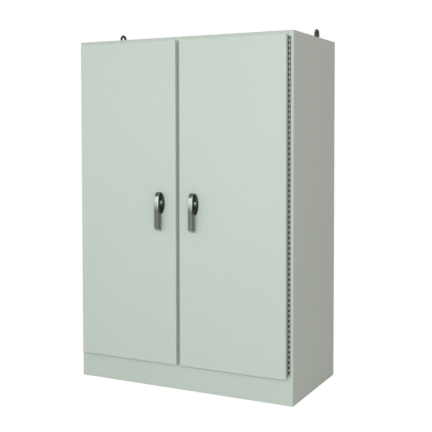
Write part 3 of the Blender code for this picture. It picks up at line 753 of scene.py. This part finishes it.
class CABINET_OT_shell(bpy.types.Operator):
    """Make the welded body: sides, roof, rear, header and plinth"""

    bl_idname = "cabinet.shell"
    bl_label = "Welded body"
    bl_options = {"REGISTER", "UNDO"}

    def execute(self, context):
        for side, name in SIDES:
            self.make_side(side, name)
            self.make_collar(side, name)
        self.make_roof()
        self.make_rear()
        self.make_front_strips()
        for name in ("floor_pan", "left_anchor_angle", "right_anchor_angle"):
            refined(name, soften=0.0007)
        for name in ("lifting_plate_front_left", "lifting_plate_rear_right"):
            refined(name, soften=0.0012)
        return {"FINISHED"}

    def make_side(self, side, name):
        """One sheet: the front flange, the side and a return behind."""
        path = [
            (OPENING_X, FRONT_Y), (HALF_WIDTH, FRONT_Y),
            (HALF_WIDTH, REAR_Y), (HALF_WIDTH - REAR_RETURN, REAR_Y),
        ]
        sheet = folded(mirrored(path, side), "Z", 0.0, ROOF_SEAT, sizes().body_bend)
        point_outwards(sheet)
        piece(
            f"{name}_side_wrap", sheet, "enamel", "cabinet",
            (f"{name}_side_panel", f"{name}_front_stile"), sheet=SHEET,
        )

    def make_collar(self, side, name):
        """The strip that edges a door's opening on its outer side, its top and its bottom."""
        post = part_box("centre_post")[1].x
        middle = SHEET / 2
        path = [
            (post - SHEET, OPENING_TOP + middle), (OPENING_X + middle, OPENING_TOP + middle),
            (OPENING_X + middle, OPENING_BOTTOM - middle), (post - SHEET, OPENING_BOTTOM - middle),
        ]
        strip = folded(mirrored(path, side), "Y", COLLAR_TIP_Y, FRONT_Y + SHEET, 0.008, 6)
        made = piece(f"{name}_opening_collar", strip, "enamel", "cabinet", sheet=SHEET, soften=0.0005)
        made.modifiers["Sheet"].offset = 0.0

    def make_roof(self):
        roof = copied("roof_panel")
        rim = [edge for edge in roof.edges if self.on_roof_rim(edge)]
        bevelled(roof, rim, SHEET * 0.85, 4)
        piece("roof_sheet", roof, "enamel", "cabinet", ("roof_panel",))

    def on_roof_rim(self, edge):
        """True for the roof's upper outer edges and its upright corners."""
        ends = [vert.co for vert in edge.verts]
        outer = [
            min(abs(abs(co.x) - HALF_WIDTH), abs(co.y - FRONT_Y), abs(co.y - REAR_Y)) < 1e-5
            for co in ends
        ]
        upper = [co.z > ROOF_HIGH.z - 1e-5 for co in ends]
        return all(outer) and all(upper)

    def make_rear(self):
        low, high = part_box("rear_panel")
        inner = HALF_WIDTH - REAR_RETURN - WELD_GAP
        panel = block((-inner, inner), (low.y, high.y), (low.z, high.z))
        piece("rear_sheet", panel, "enamel", "cabinet", ("rear_panel",), soften=0.0004)

    def make_front_strips(self):
        """The header and the plinth's front, with a toe fold along the floor."""
        header = block((-OPENING_X, OPENING_X), (FRONT_Y, FRONT_Y + SHEET), (OPENING_TOP, ROOF_SEAT))
        piece("header_strip", header, "enamel", "cabinet", ("front_header",))
        path = [(FRONT_Y, OPENING_BOTTOM), (FRONT_Y, 0.0), (FRONT_Y + 0.040, 0.0)]
        plinth = folded(path, "X", -OPENING_X, OPENING_X, TOE_BEND)
        point_outwards(plinth)
        piece("plinth_front", plinth, "enamel", "cabinet", ("front_kick_panel",), sheet=SHEET)


def point_outwards(sheet):
    """Turns an open sheet's faces away from the cabinet's middle."""
    middle = Vector((0, (FRONT_Y + REAR_Y) / 2, ROOF_HIGH.z / 2))
    bmesh.ops.recalc_face_normals(sheet, faces=sheet.faces)
    largest = max(sheet.faces, key=lambda face: face.calc_area())
    if largest.normal.dot(largest.calc_center_median() - middle) < 0:
        bmesh.ops.reverse_faces(sheet, faces=sheet.faces)


class CABINET_OT_post(bpy.types.Operator):
    """Make the removable centre post with its strike plates"""

    bl_idname = "cabinet.post"
    bl_label = "Centre post"
    bl_options = {"REGISTER", "UNDO"}

    def execute(self, context):
        # The post takes the lightened enamel: painted light in the gap between the doors.
        refined("centre_post", "post_enamel", soften=0.0009, segments=3)
        for _, name in SIDES:
            refined(f"{name}_strike_plate", soften=0.0003)
        self.make_screws()
        return {"FINISHED"}

    def make_screws(self):
        """Hexagon screws that hold the post at its ends, on its legs' inner side."""
        low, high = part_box("centre_post")
        screws = bmesh.new()
        seat = FRONT_Y + SHEET + 0.0001
        for z in (low.z + 0.020, high.z - 0.020):
            for x in (-0.008, 0.008):
                nut((x, seat, z), "Y", 0.0080, 0.0045, screws)
        fastener("post_screws", screws, "cabinet")


class CABINET_OT_panel(bpy.types.Operator):
    """Make the mounting panel, its studs and the earth stud"""

    bl_idname = "cabinet.panel"
    bl_label = "Mounting panel"
    bl_options = {"REGISTER", "UNDO"}

    def execute(self, context):
        refined("mounting_panel", soften=0.0010, segments=3)
        low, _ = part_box("mounting_panel")
        for row in ("lower", "upper"):
            for _, hand in SIDES:
                self.make_stud(f"panel_stud_{row}_{hand}", low.y)
        self.make_earth_stud()
        return {"FINISHED"}

    def make_stud(self, node, front):
        """A collared stud with a thread, a washer and a hexagon nut."""
        low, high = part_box(node)
        middle = (low + high) / 2
        seat = front + 0.0003
        steps = [
            (0.0088, high.y), (0.0090, high.y - 0.0004), (0.0090, front + SHEET + 0.0006),
            (0.0086, front + SHEET + 0.0003), (0.0048, front + SHEET + 0.0003),
        ]
        steps += thread(0.0050, front + SHEET, low.y, 0.0015)
        solid = turned(steps, (middle.x, 0, middle.z), "Y", 32)
        washer = [
            (0.0054, seat), (0.0113, seat), (0.0115, seat - 0.0003),
            (0.0113, seat - 0.0018), (0.0054, seat - 0.0018),
        ]
        turned(washer, (middle.x, 0, middle.z), "Y", 40, solid)
        nut((middle.x, seat - 0.0100, middle.z), "Y", 0.0160, 0.0080, solid)
        piece(f"{node}_detail", solid, "zinc_plate", "cabinet", (node,), sharp=32)

    def make_earth_stud(self):
        low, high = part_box("ground_stud")
        middle = (low + high) / 2
        steps = [
            (0.0108, low.x), (0.0110, low.x + 0.0003), (0.0110, low.x + 0.0027),
            (0.0108, low.x + 0.0030), (0.0048, low.x + 0.0030),
        ]
        steps += thread(0.0050, low.x + 0.0035, high.x, 0.0015)
        solid = turned(steps, (0, middle.y, middle.z), "X", 32)
        nut((low.x + 0.0032, middle.y, middle.z), "X", 0.0150, 0.0070, solid)
        washer = [
            (0.0055, low.x + 0.0110), (0.0100, low.x + 0.0110),
            (0.0100, low.x + 0.0126), (0.0055, low.x + 0.0126),
        ]
        turned(washer, (0, middle.y, middle.z), "X", 40, solid)
        nut((low.x + 0.0128, middle.y, middle.z), "X", 0.0150, 0.0070, solid)
        piece("earth_stud_detail", solid, "brass", "cabinet", ("ground_stud",), sharp=32)


def thread(radius, start, end, pitch):
    """Profile steps of a thread that runs from start to end, with its last turns run out."""
    sign = 1 if end > start else -1
    count = int(abs(end - start) / pitch)
    steps = []
    for k in range(count):
        at = start + sign * k * pitch
        steps += [(radius * 0.88, at), (radius, at + sign * pitch / 2)]
    return steps + [(radius * 0.88, end - sign * 0.0006), (radius * 0.72, end)]


class CABINET_OT_eyes(bpy.types.Operator):
    """Make the lifting eyes on the roof"""

    bl_idname = "cabinet.eyes"
    bl_label = "Lifting eyes"
    bl_options = {"REGISTER", "UNDO"}

    def execute(self, context):
        for name in ("front_left", "rear_right"):
            self.make_eye(f"eyebolt_{name}")
        return {"FINISHED"}

    def make_eye(self, node):
        low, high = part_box(node)
        middle = (low + high) / 2
        wire = 0.0067
        ring = (high.y - low.y) / 2 - wire
        centre = Vector((middle.x, middle.y, high.z - ring - wire))
        solid = hoop(centre, ring, wire)
        roof = ROOF_HIGH.z + 0.0003
        foot = [
            (0.0136, roof), (0.0140, roof + 0.0005), (0.0140, roof + 0.0050), (0.0132, roof + 0.0064),
            (0.0105, roof + 0.0085), (0.0088, roof + 0.0105), (0.0078, roof + 0.0125),
        ]
        turned(foot, (middle.x, middle.y, 0), "Z", 40, solid)
        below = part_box(node.replace("eyebolt", "lifting_plate"))[0].z
        shank = [(0.0060, roof)] + thread(0.0060, roof - 0.0005, low.z, 0.00175)
        turned(shank, (middle.x, middle.y, 0), "Z", 32, solid)
        nut((middle.x, middle.y, below - 0.0110), "Z", 0.0180, 0.0105, solid)
        piece(f"{node}_detail", solid, "forged_steel", "cabinet", (node,), sharp=50)


def hoop(centre, radius, wire, around=56, wire_sides=20):
    """A ring of round wire whose axis runs along X."""
    solid = bmesh.new()
    top = Matrix.Translation(centre + Vector((0, 0, radius)))
    upright = Matrix.Rotation(math.pi / 2, 4, "X")
    bmesh.ops.create_circle(solid, segments=wire_sides, radius=wire, matrix=top @ upright)
    spun(solid, (), centre, "X", around)
    return solid


class CABINET_OT_hinges(bpy.types.Operator):
    """Make the continuous hinges, leaf by leaf"""

    bl_idname = "cabinet.hinges"
    bl_label = "Hinges"
    bl_options = {"REGISTER", "UNDO"}

    def execute(self, context):
        for side, name in SIDES:
            self.make_leaf(name, side, "door")
            self.make_leaf(name, side, "body")
            self.make_pin(name, side)
        return {"FINISHED"}

    def make_leaf(self, name, side, which):
        """A leaf whose knuckles fill every other space."""
        node = f"{name}_hinge_{which}_leaf"
        low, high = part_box(node)
        inwards = which == "body"
        width = (high.x - low.x if inwards else high.y - low.y) - self.radius()
        solid = bmesh.new()
        self.add_strip(solid, side, inwards, width, low.z, high.z)
        pitch = sizes().knuckle_pitch
        for k in range(round((high.z - low.z) / pitch)):
            start = low.z + pitch * (k + (0.5 if inwards else 0.0)) + sizes().knuckle_gap / 2
            self.add_knuckle(solid, side, inwards, start, start + pitch / 2 - sizes().knuckle_gap)
        # Both leaf colours hold painted shade: dark steel on the body leaves, darkened enamel on the door leaves.
        look = "hinge_steel" if inwards else "leaf_enamel"
        body = "cabinet" if inwards else f"{name}_door"
        piece(f"{node}_detail", solid, look, body, (node,), sharp=50)

    def radius(self):
        return HINGE_AXIS.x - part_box("right_hinge_door_leaf")[0].x

    def place(self, point, inwards, side):
        u, v = point
        if inwards:
            u, v = v, -u
        return (side * (HINGE_AXIS.x + u), HINGE_AXIS.y + v)

    def add_strip(self, solid, side, inwards, width, low, high):
        inner, outer = sizes().leaf_sheet - self.radius(), -self.radius()
        root = -self.radius() - 0.0008
        corners = [(outer, -width), (inner, -width), (inner, root), (outer, root)]
        extruded([self.place(corner, inwards, side) for corner in corners], "Z", low, high, solid)

    def add_knuckle(self, solid, side, inwards, low, high):
        radius = self.radius()
        bore = radius - sizes().leaf_sheet
        angles = [math.radians(180 - 290 * k / 11) for k in range(12)]
        outer = [(radius * math.cos(a), radius * math.sin(a)) for a in angles]
        inner = [(bore * math.cos(a), bore * math.sin(a)) for a in angles]
        root = -radius - 0.0009
        outline = [(-radius, root)] + outer + inner[::-1] + [(-bore, root)]
        extruded([self.place(point, inwards, side) for point in outline], "Z", low, high, solid)

    def make_pin(self, name, side):
        low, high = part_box(f"{name}_hinge_pin")
        radius = (high.x - low.x) / 2
        steps = [
            (radius * 0.8, low.z), (radius, low.z + 0.0006),
            (radius, high.z - 0.0006), (radius * 0.8, high.z),
        ]
        solid = turned(steps, (side * HINGE_AXIS.x, HINGE_AXIS.y, 0), "Z", 24)
        piece(f"{name}_hinge_pin_detail", solid, "hinge_steel", "cabinet", (f"{name}_hinge_pin",))


class CABINET_OT_doors(bpy.types.Operator):
    """Make the door pans with their gaskets, stiffeners and the drawing pocket"""

    bl_idname = "cabinet.doors"
    bl_label = "Doors"
    bl_options = {"REGISTER", "UNDO"}

    def execute(self, context):
        for side, name in SIDES:
            self.make_pan(side, name)
            self.make_gasket(name)
            refined(f"{name}_door_stiffener")
        self.make_pocket()
        return {"FINISHED"}

    def make_pan(self, side, name):
        """One folded sheet: a skin with a hole for the hub, its walls and the lip behind."""
        low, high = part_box(f"{name}_door")
        low.y, high.y = DOOR_LOW.y, DOOR_HIGH.y
        sheet, bend = sizes().door_sheet, sizes().door_bend
        front, back = (bend, low.y + bend), (bend, high.y - bend)
        inner, lip = bend - sheet, sizes().door_lip
        path = arc(front, bend, 270, 180, 5) + arc(back, bend, 180, 90, 4) + [(lip, high.y)]
        path += [(lip, high.y - sheet)] + arc(back, inner, 90, 180, 3) + arc(front, inner, 180, 270, 3)
        solid = bmesh.new()
        rings = framed((low.x, high.x), (low.z, high.z), sizes().door_corner, path)
        front_rim, inner_rim = lofted(solid, rings)
        hole = ellipse(side * HANDLE_AXIS.x, HANDLE_AXIS.z, HUB_HOLE, HUB_HOLE, 32)
        depths = (low.y, low.y + sheet)
        front_hole, inner_hole = lofted(solid, [set_in_plane(hole, "Y", at) for at in depths])
        filled(solid, front_rim, front_hole)
        filled(solid, inner_rim, inner_hole)
        piece(f"{name}_door_pan", solid, "enamel", f"{name}_door", (f"{name}_door",), sharp=50)

    def make_gasket(self, name):
        """A poured foam bead with a domed back, all round the door."""
        low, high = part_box(f"{name}_door_gasket")
        width, tall = 0.016, high.y - low.y
        path = [(0.0, low.y), (0.0006, low.y + tall * 0.35)]
        path += [(width / 2 + (width / 2 - 0.0012) * u, low.y + tall * 0.45 + tall * 0.55 * v)
                 for u, v in arc((0, 0), 1.0, 172, 8, 7)]
        path += [(width - 0.0006, low.y + tall * 0.35), (width, low.y)]
        solid = bmesh.new()
        rings = framed((low.x, high.x), (low.z, high.z), 0.020, path)
        lofted(solid, rings, closed=True)
        piece(f"{name}_gasket_bead", solid, "gasket", f"{name}_door", (f"{name}_door_gasket",), sharp=60)

    def make_pocket(self):
        refined("drawing_pocket", soften=0.0012, segments=3)
        low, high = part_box("drawing_pocket")
        rivets = bmesh.new()
        for x in (low.x + 0.020, high.x - 0.020):
            head = [
                (0.0048, low.y + 0.0021), (0.0046, low.y + 0.0030),
                (0.0030, low.y + 0.0038), (0.0010, low.y + 0.0041),
            ]
            turned(head, (x, 0, high.z - 0.018), "Y", 24, rivets)
        fastener("pocket_rivets", rivets, "right_door")


class CABINET_OT_handles(bpy.types.Operator):
    """Make the handles: bases, levers with their hubs and spindles, and lock plugs"""

    bl_idname = "cabinet.handles"
    bl_label = "Handles"
    bl_options = {"REGISTER", "UNDO"}

    def execute(self, context):
        for side, name in SIDES:
            self.make_base(name)
            self.make_lever(side, name)
            self.make_plug(side, name)
        return {"FINISHED"}

    def make_base(self, name):
        """An oval moulding with a soft shoulder and a low step round the hub."""
        node = f"{name}_handle_base"
        low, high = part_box(node)
        middle = (low + high) / 2
        half_u, half_v = (high.x - low.x) / 2, (high.z - low.z) / 2
        tall = high.y - low.y
        path = [(0.0010, high.y), (0.0, high.y - 0.0008)]
        path += [
            (tall * 0.75 * (1 - u), high.y - 0.0018 - (tall - 0.0028) * v)
            for u, v in arc((0, 0), 1.0, 0, 90, 6)
        ]
        path += [(0.0110, low.y + 0.0008), (0.0120, low.y + 0.0002), (0.0130, low.y)]
        solid = bmesh.new()
        rings = [
            set_in_plane(ellipse(middle.x, middle.z, half_u - inset, half_v - inset * 1.25), "Y", depth)
            for inset, depth in path
        ]
        for rim in lofted(solid, rings):
            filled(solid, rim)
        piece(f"{name}_handle_base_detail", solid, "black_base", f"{name}_door", (node,), sharp=60)

    def make_lever(self, side, name):
        """A casting with a polished front, dull flanks and a black panel in each side of its head. Faces turned up
        on its dome take the dull plate too, as painted shade.
        """
        node = f"{name}_lever"
        low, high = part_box(node)
        base_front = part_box(f"{name}_handle_base")[0].y
        x, half = side * HANDLE_AXIS.x, sizes().lever_width / 2
        front, back = low.y, low.y + 0.030
        solid = extruded(self.lever_profile(front, back, low.z, high.z), "X", x - half, x + half)
        bmesh.ops.recalc_face_normals(solid, faces=solid.faces)
        bevelled(solid, [edge for edge in solid.edges if self.on_front_rim(edge, back)], 0.0018, 3)
        self.let_in_panels(solid, low.z + GRIP_LENGTH)
        # Flanks and back get the dull plate; faces turned up on the dome get it as painted shade.
        for face in solid.faces:
            dull = abs(face.normal.x) > 0.99 or face.normal.y > 0.9 or face.normal.z > 0.45
            if dull and face.material_index == 0:
                face.material_index = 1
        hub, flange = sizes().hub_radius, base_front - 0.0004
        spin = [
            (hub - 0.0010, back - 0.0060), (hub - 0.0010, back - 0.0002),
            *[(hub + 0.0050 * u, flange - 0.0085 * v) for u, v in arc((0, 0), 1.0, 90, 0, 7)],
            (hub - 0.0006, flange), (hub - 0.0006, HANDLE_AXIS.y - 0.0006),
            (0.0079, HANDLE_AXIS.y - 0.0006),
            (0.0079, high.y - 0.0008), (0.0071, high.y),
        ]
        turned(spin, (x, 0, HANDLE_AXIS.z), "Y", sizes().round_sides, solid)
        for at in (-1, 1):
            pin = [(0.0020, -0.001), (0.0024, 0.0), (0.0024, half - 0.0018), (0.0018, half - 0.0012)]
            turned([(r, x + at * d) for r, d in pin], (0, front + 0.0155, HANDLE_AXIS.z), "X", 24, solid)
        made = piece(f"{name}_lever_detail", solid, "chrome", f"{name}_handle", (node,), sharp=40)
        for look in ("dull_plate", "black_base"):
            made.data.materials.append(finish(look))

    def lever_profile(self, front, back, bottom, top):
        """The lever from the side: a face that bows back towards a domed head."""
        bow, brow = sizes().lever_bow, top - HEAD_RISE
        start = bottom + GRIP_LENGTH
        steps = [k / 8 for k in range(9)]
        face = [(front + bow * share * share, start + (brow - start) * share) for share in steps]
        depth, rise = back - front - bow, top - brow
        angles = [math.radians(9 * k) for k in range(1, 10)]
        dome = [(back - depth * math.cos(a), brow + rise * math.sin(a)) for a in angles]
        foot = [
            (back, bottom + 0.0012), (back - 0.0010, bottom + 0.0004),
            (front + 0.0012, bottom + 0.0138), (front, bottom + 0.0162),
        ]
        return [(back, top)] + foot + face + dome[:-1]

    def on_front_rim(self, edge, back):
        """True for the edges between the front or the dome and the sides."""
        ends = [vert.co for vert in edge.verts]
        return abs(ends[0].x - ends[1].x) < SAME and min(co.y for co in ends) < back - SAME

    def let_in_panels(self, solid, start):
        """Sinks a panel into each side of the head, above the given height."""
        flanks = [face for face in solid.faces if abs(face.normal.x) > 0.99]
        edges = list({edge for face in flanks for edge in face.edges})
        bmesh.ops.bisect_plane(solid, geom=edges + flanks, plane_co=(0, 0, start), plane_no=(0, 0, 1))
        panels = [
            face for face in solid.faces
            if abs(face.normal.x) > 0.99 and face.calc_center_median().z > start
        ]
        for thickness, depth in ((0.0008, 0.0), (0.0004, -0.0022)):
            walls = bmesh.ops.inset_individual(
                solid, faces=panels, thickness=thickness, depth=depth, use_even_offset=True,
            )
        for face in panels + walls["faces"]:
            face.material_index = 2

    def make_plug(self, side, name):
        """The lock's barrel, with a keyway sunk in a face that follows the lever's. The keyway's walls and floor
        take the black moulding as painted shade.
        """
        node = f"{name}_lock_plug"
        low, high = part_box(node)
        radius = (high.x - low.x) / 2
        x, z = side * HANDLE_AXIS.x, HANDLE_AXIS.z
        fall = sizes().lever_bow * self.bow_share(z) ** 2
        slope = 2 * sizes().lever_bow * self.bow_share(z) / self.bow_height()
        front = low.y + fall - PLUG_STANDS_OUT
        half_u, half_v = KEYWAY
        solid = bmesh.new()
        steps = [(radius - 0.0004, front), (radius, front + 0.0003), (radius, high.y)]
        sides = sizes().round_sides
        barrel = lofted(solid, [set_in_plane(ellipse(x, z, r, r, sides), "Y", at) for r, at in steps])
        slot = rounded_rectangle(x - half_u, x + half_u, z - half_v, z + half_v, 0.0006, 3)
        depths = (front, front + KEYWAY_DEPTH)
        keyway = lofted(solid, [set_in_plane(slot, "Y", at) for at in depths])
        for vert in solid.verts:
            if vert.co.y < front + KEYWAY_DEPTH * 1.2:
                vert.co.y += slope * (vert.co.z - z)
        filled(solid, barrel[0], keyway[0])
        filled(solid, barrel[-1])
        filled(solid, keyway[1])
        # Painted shade: the keyway's faces take the black moulding so the slot reads dark.
        for face in solid.faces:
            if all((vert.co.xz - Vector((x, z))).length < half_v * 1.05 for vert in face.verts):
                face.material_index = 1
        made = piece(f"{name}_lock_plug_detail", solid, "chrome", f"{name}_lock", (node,), sharp=20)
        made.data.materials.append(finish("black_base"))

    def bow_height(self):
        low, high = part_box("right_lever")
        return high.z - HEAD_RISE - (low.z + GRIP_LENGTH)

    def bow_share(self, z):
        """How far up the bowed stretch of a lever's face a height is, from 0 to 1."""
        return (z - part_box("right_lever")[0].z - GRIP_LENGTH) / self.bow_height()


class CABINET_OT_latches(bpy.types.Operator):
    """Make the latches: housings, cams, rods, rollers and guides"""

    bl_idname = "cabinet.latches"
    bl_label = "Latches"
    bl_options = {"REGISTER", "UNDO"}

    def execute(self, context):
        for side, name in SIDES:
            refined(f"{name}_latch_housing", soften=0.0008)
            refined(f"{name}_latch_cam", soften=0.0005)
            self.make_cam_nut(side, name)
            self.make_housing_screws(side, name)
            for where in ("upper", "lower"):
                refined(f"{name}_{where}_rod")
                refined(f"{name}_{where}_rod_guide")
                self.make_roller(name, where)
                self.make_guide_screws(name, where)
        return {"FINISHED"}

    def make_cam_nut(self, side, name):
        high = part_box(f"{name}_lever")[1]
        solid = nut((side * HANDLE_AXIS.x, high.y - 0.0022, HANDLE_AXIS.z), "Y", 0.0170, 0.0026)
        fastener(f"{name}_cam_nut", solid, f"{name}_handle")

    def make_housing_screws(self, side, name):
        low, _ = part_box(f"{name}_latch_housing")
        screws = bmesh.new()
        for k in range(4):
            angle = math.radians(45 + 90 * k)
            x = side * HANDLE_AXIS.x + 0.0235 * math.cos(angle)
            z = HANDLE_AXIS.z + 0.0235 * math.sin(angle)
            nut((x, low.y + 0.0040, z), "Y", 0.0070, 0.0028, screws)
        fastener(f"{name}_housing_screws", screws, f"{name}_door")

    def make_roller(self, name, where):
        """A crowned nylon wheel."""
        node = f"{name}_{where}_roller"
        low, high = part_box(node)
        centre = (low + high) / 2
        radius, half = (high.z - low.z) / 2, (high.x - low.x) / 2
        bore = 0.0033
        profile = [
            (bore, -half), (radius - 0.0030, -half), (radius - 0.0010, -half + 0.0008),
            (radius - 0.0001, -half + 0.0022), (radius, 0), (radius - 0.0001, half - 0.0022),
            (radius - 0.0010, half - 0.0008), (radius - 0.0030, half), (bore, half),
        ]
        solid = annulus(profile, centre, "X", sizes().round_sides)
        piece(f"{node}_detail", solid, "nylon", node, (node,), sharp=50)

    def make_guide_screws(self, name, where):
        low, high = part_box(f"{name}_{where}_rod_guide")
        screws = bmesh.new()
        foot = low.y + 0.0030
        for share in (0.27, 0.73):
            nut((low.x + (high.x - low.x) * share, foot, low.z + 0.0150), "Y", 0.0060, 0.0024, screws)
        fastener(f"{name}_{where}_guide_screws", screws, f"{name}_door")


class CABINET_OT_stage(bpy.types.Operator):
    """Make the floor, the lights, the surround and the camera"""

    bl_idname = "cabinet.stage"
    bl_label = "Stage"
    bl_options = {"REGISTER", "UNDO"}

    def execute(self, context):
        self.make_floor()
        self.make_surround()
        stage = bpy.context.scene.cabinet_stage
        middle = Vector((0, (FRONT_Y + REAR_Y) / 2, ROOF_HIGH.z / 2))
        powers = (stage.key_power, stage.side_power, stage.left_power)
        for (name, place, size, colour), power in zip(LIGHTS, powers):
            self.add_light(name, place, middle, size, power, colour)
        self.make_camera(stage)
        return {"FINISHED"}

    def make_floor(self):
        solid = bmesh.new()
        bmesh.ops.create_grid(solid, x_segments=1, y_segments=1, size=30.0)
        mesh = bpy.data.meshes.new("floor")
        solid.to_mesh(mesh)
        solid.free()
        floor = bpy.data.objects.new("floor", mesh)
        bpy.context.scene.collection.objects.link(floor)
        floor.location.z = -0.0005
        mesh.materials.append(self.floor_paint())

    def floor_paint(self):
        """White paper: bright where it is seen, and a modest reflector of light."""
        paint = bpy.data.materials.new("studio_paper")
        paint.use_nodes = True
        tree = paint.node_tree
        shader = tree.nodes["Principled BSDF"]
        shader.inputs["Base Color"].default_value = (0.68, 0.68, 0.67, 1.0)
        shader.inputs["Roughness"].default_value = 0.9
        shader.inputs["Specular IOR Level"].default_value = 0.0
        glow = tree.nodes.new("ShaderNodeEmission")
        glow.inputs["Strength"].default_value = 1.0
        seen = tree.nodes.new("ShaderNodeLightPath")
        mix = tree.nodes.new("ShaderNodeMixShader")
        tree.links.new(seen.outputs["Is Camera Ray"], mix.inputs["Fac"])
        tree.links.new(shader.outputs["BSDF"], mix.inputs[1])
        tree.links.new(glow.outputs["Emission"], mix.inputs[2])
        tree.links.new(mix.outputs["Shader"], tree.nodes["Material Output"].inputs["Surface"])
        return paint

    def make_surround(self):
        """A white room to look at, and a softer grey one that lights the cabinet."""
        world = bpy.data.worlds.new("surround")
        bpy.context.scene.world = world
        world.use_nodes = True
        tree = world.node_tree
        lit = tree.nodes["Background"]
        lit.inputs["Color"].default_value = (1.0, 0.92, 0.895, 1.0)
        lit.inputs["Strength"].default_value = bpy.context.scene.cabinet_stage.surround
        seen = tree.nodes.new("ShaderNodeBackground")
        seen.inputs["Color"].default_value = (1.0, 1.0, 1.0, 1.0)
        seen.inputs["Strength"].default_value = 1.0
        path = tree.nodes.new("ShaderNodeLightPath")
        mix = tree.nodes.new("ShaderNodeMixShader")
        tree.links.new(path.outputs["Is Camera Ray"], mix.inputs["Fac"])
        tree.links.new(lit.outputs["Background"], mix.inputs[1])
        tree.links.new(seen.outputs["Background"], mix.inputs[2])
        tree.links.new(mix.outputs["Shader"], tree.nodes["World Output"].inputs["Surface"])

    def add_light(self, name, place, target, size, power, colour):
        light = bpy.data.lights.new(name, "AREA")
        light.shape = "RECTANGLE"
        light.size, light.size_y = size
        light.energy = power
        light.color = colour
        lamp = bpy.data.objects.new(name, light)
        bpy.context.scene.collection.objects.link(lamp)
        lamp.location = place
        lamp.rotation_euler = (Vector(target) - Vector(place)).to_track_quat("-Z", "Y").to_euler()

    def make_camera(self, stage):
        pitch, roll, heading = stage.camera_turn
        camera = bpy.data.cameras.new("camera")
        camera.lens = stage.lens
        camera.sensor_width = 36.0
        camera.shift_y = stage.camera_shift
        camera.clip_end = 100.0
        stand = bpy.data.objects.new("camera", camera)
        bpy.context.scene.collection.objects.link(stand)
        turn = Matrix.Rotation(heading, 4, "Z") @ Matrix.Rotation(math.pi / 2 + pitch, 4, "X")
        turn = turn @ Matrix.Rotation(roll, 4, "Z")
        stand.matrix_world = Matrix.Translation(stage.camera_place) @ turn
        scene = bpy.context.scene
        scene.camera = stand
        scene.view_settings.view_transform = "Standard"
        scene.view_settings.look = "None"


class CABINET_PT_panel(bpy.types.Panel):
    """Lists the cabinet's operators and settings"""

    bl_label = "Switchboard cabinet"
    bl_idname = "CABINET_PT_panel"
    bl_space_type = "VIEW_3D"
    bl_region_type = "UI"
    bl_category = "Cabinet"

    def draw(self, context):
        layout = self.layout
        for operator in OPERATORS:
            layout.operator(operator.bl_idname)
        scene = context.scene
        for group in (scene.cabinet_sizes, scene.cabinet_colours, scene.cabinet_stage):
            box = layout.box()
            for name in group.__annotations__:
                box.prop(group, name)


OPERATORS = (
    CABINET_OT_shell, CABINET_OT_post, CABINET_OT_panel, CABINET_OT_eyes, CABINET_OT_hinges,
    CABINET_OT_doors, CABINET_OT_handles, CABINET_OT_latches, CABINET_OT_stage,
)
CLASSES = (CabinetSizes, CabinetColours, CabinetStage, *OPERATORS, CABINET_PT_panel)


def register():
    for kind in CLASSES:
        bpy.utils.register_class(kind)
    bpy.types.Scene.cabinet_sizes = PointerProperty(type=CabinetSizes)
    bpy.types.Scene.cabinet_colours = PointerProperty(type=CabinetColours)
    bpy.types.Scene.cabinet_stage = PointerProperty(type=CabinetStage)


def unregister():
    del bpy.types.Scene.cabinet_stage
    del bpy.types.Scene.cabinet_colours
    del bpy.types.Scene.cabinet_sizes
    for kind in reversed(CLASSES):
        bpy.utils.unregister_class(kind)


def main():
    register()
    for operator in OPERATORS:
        group, name = operator.bl_idname.split(".")
        getattr(getattr(bpy.ops, group), name)()


if __name__ == "__main__":
    main()
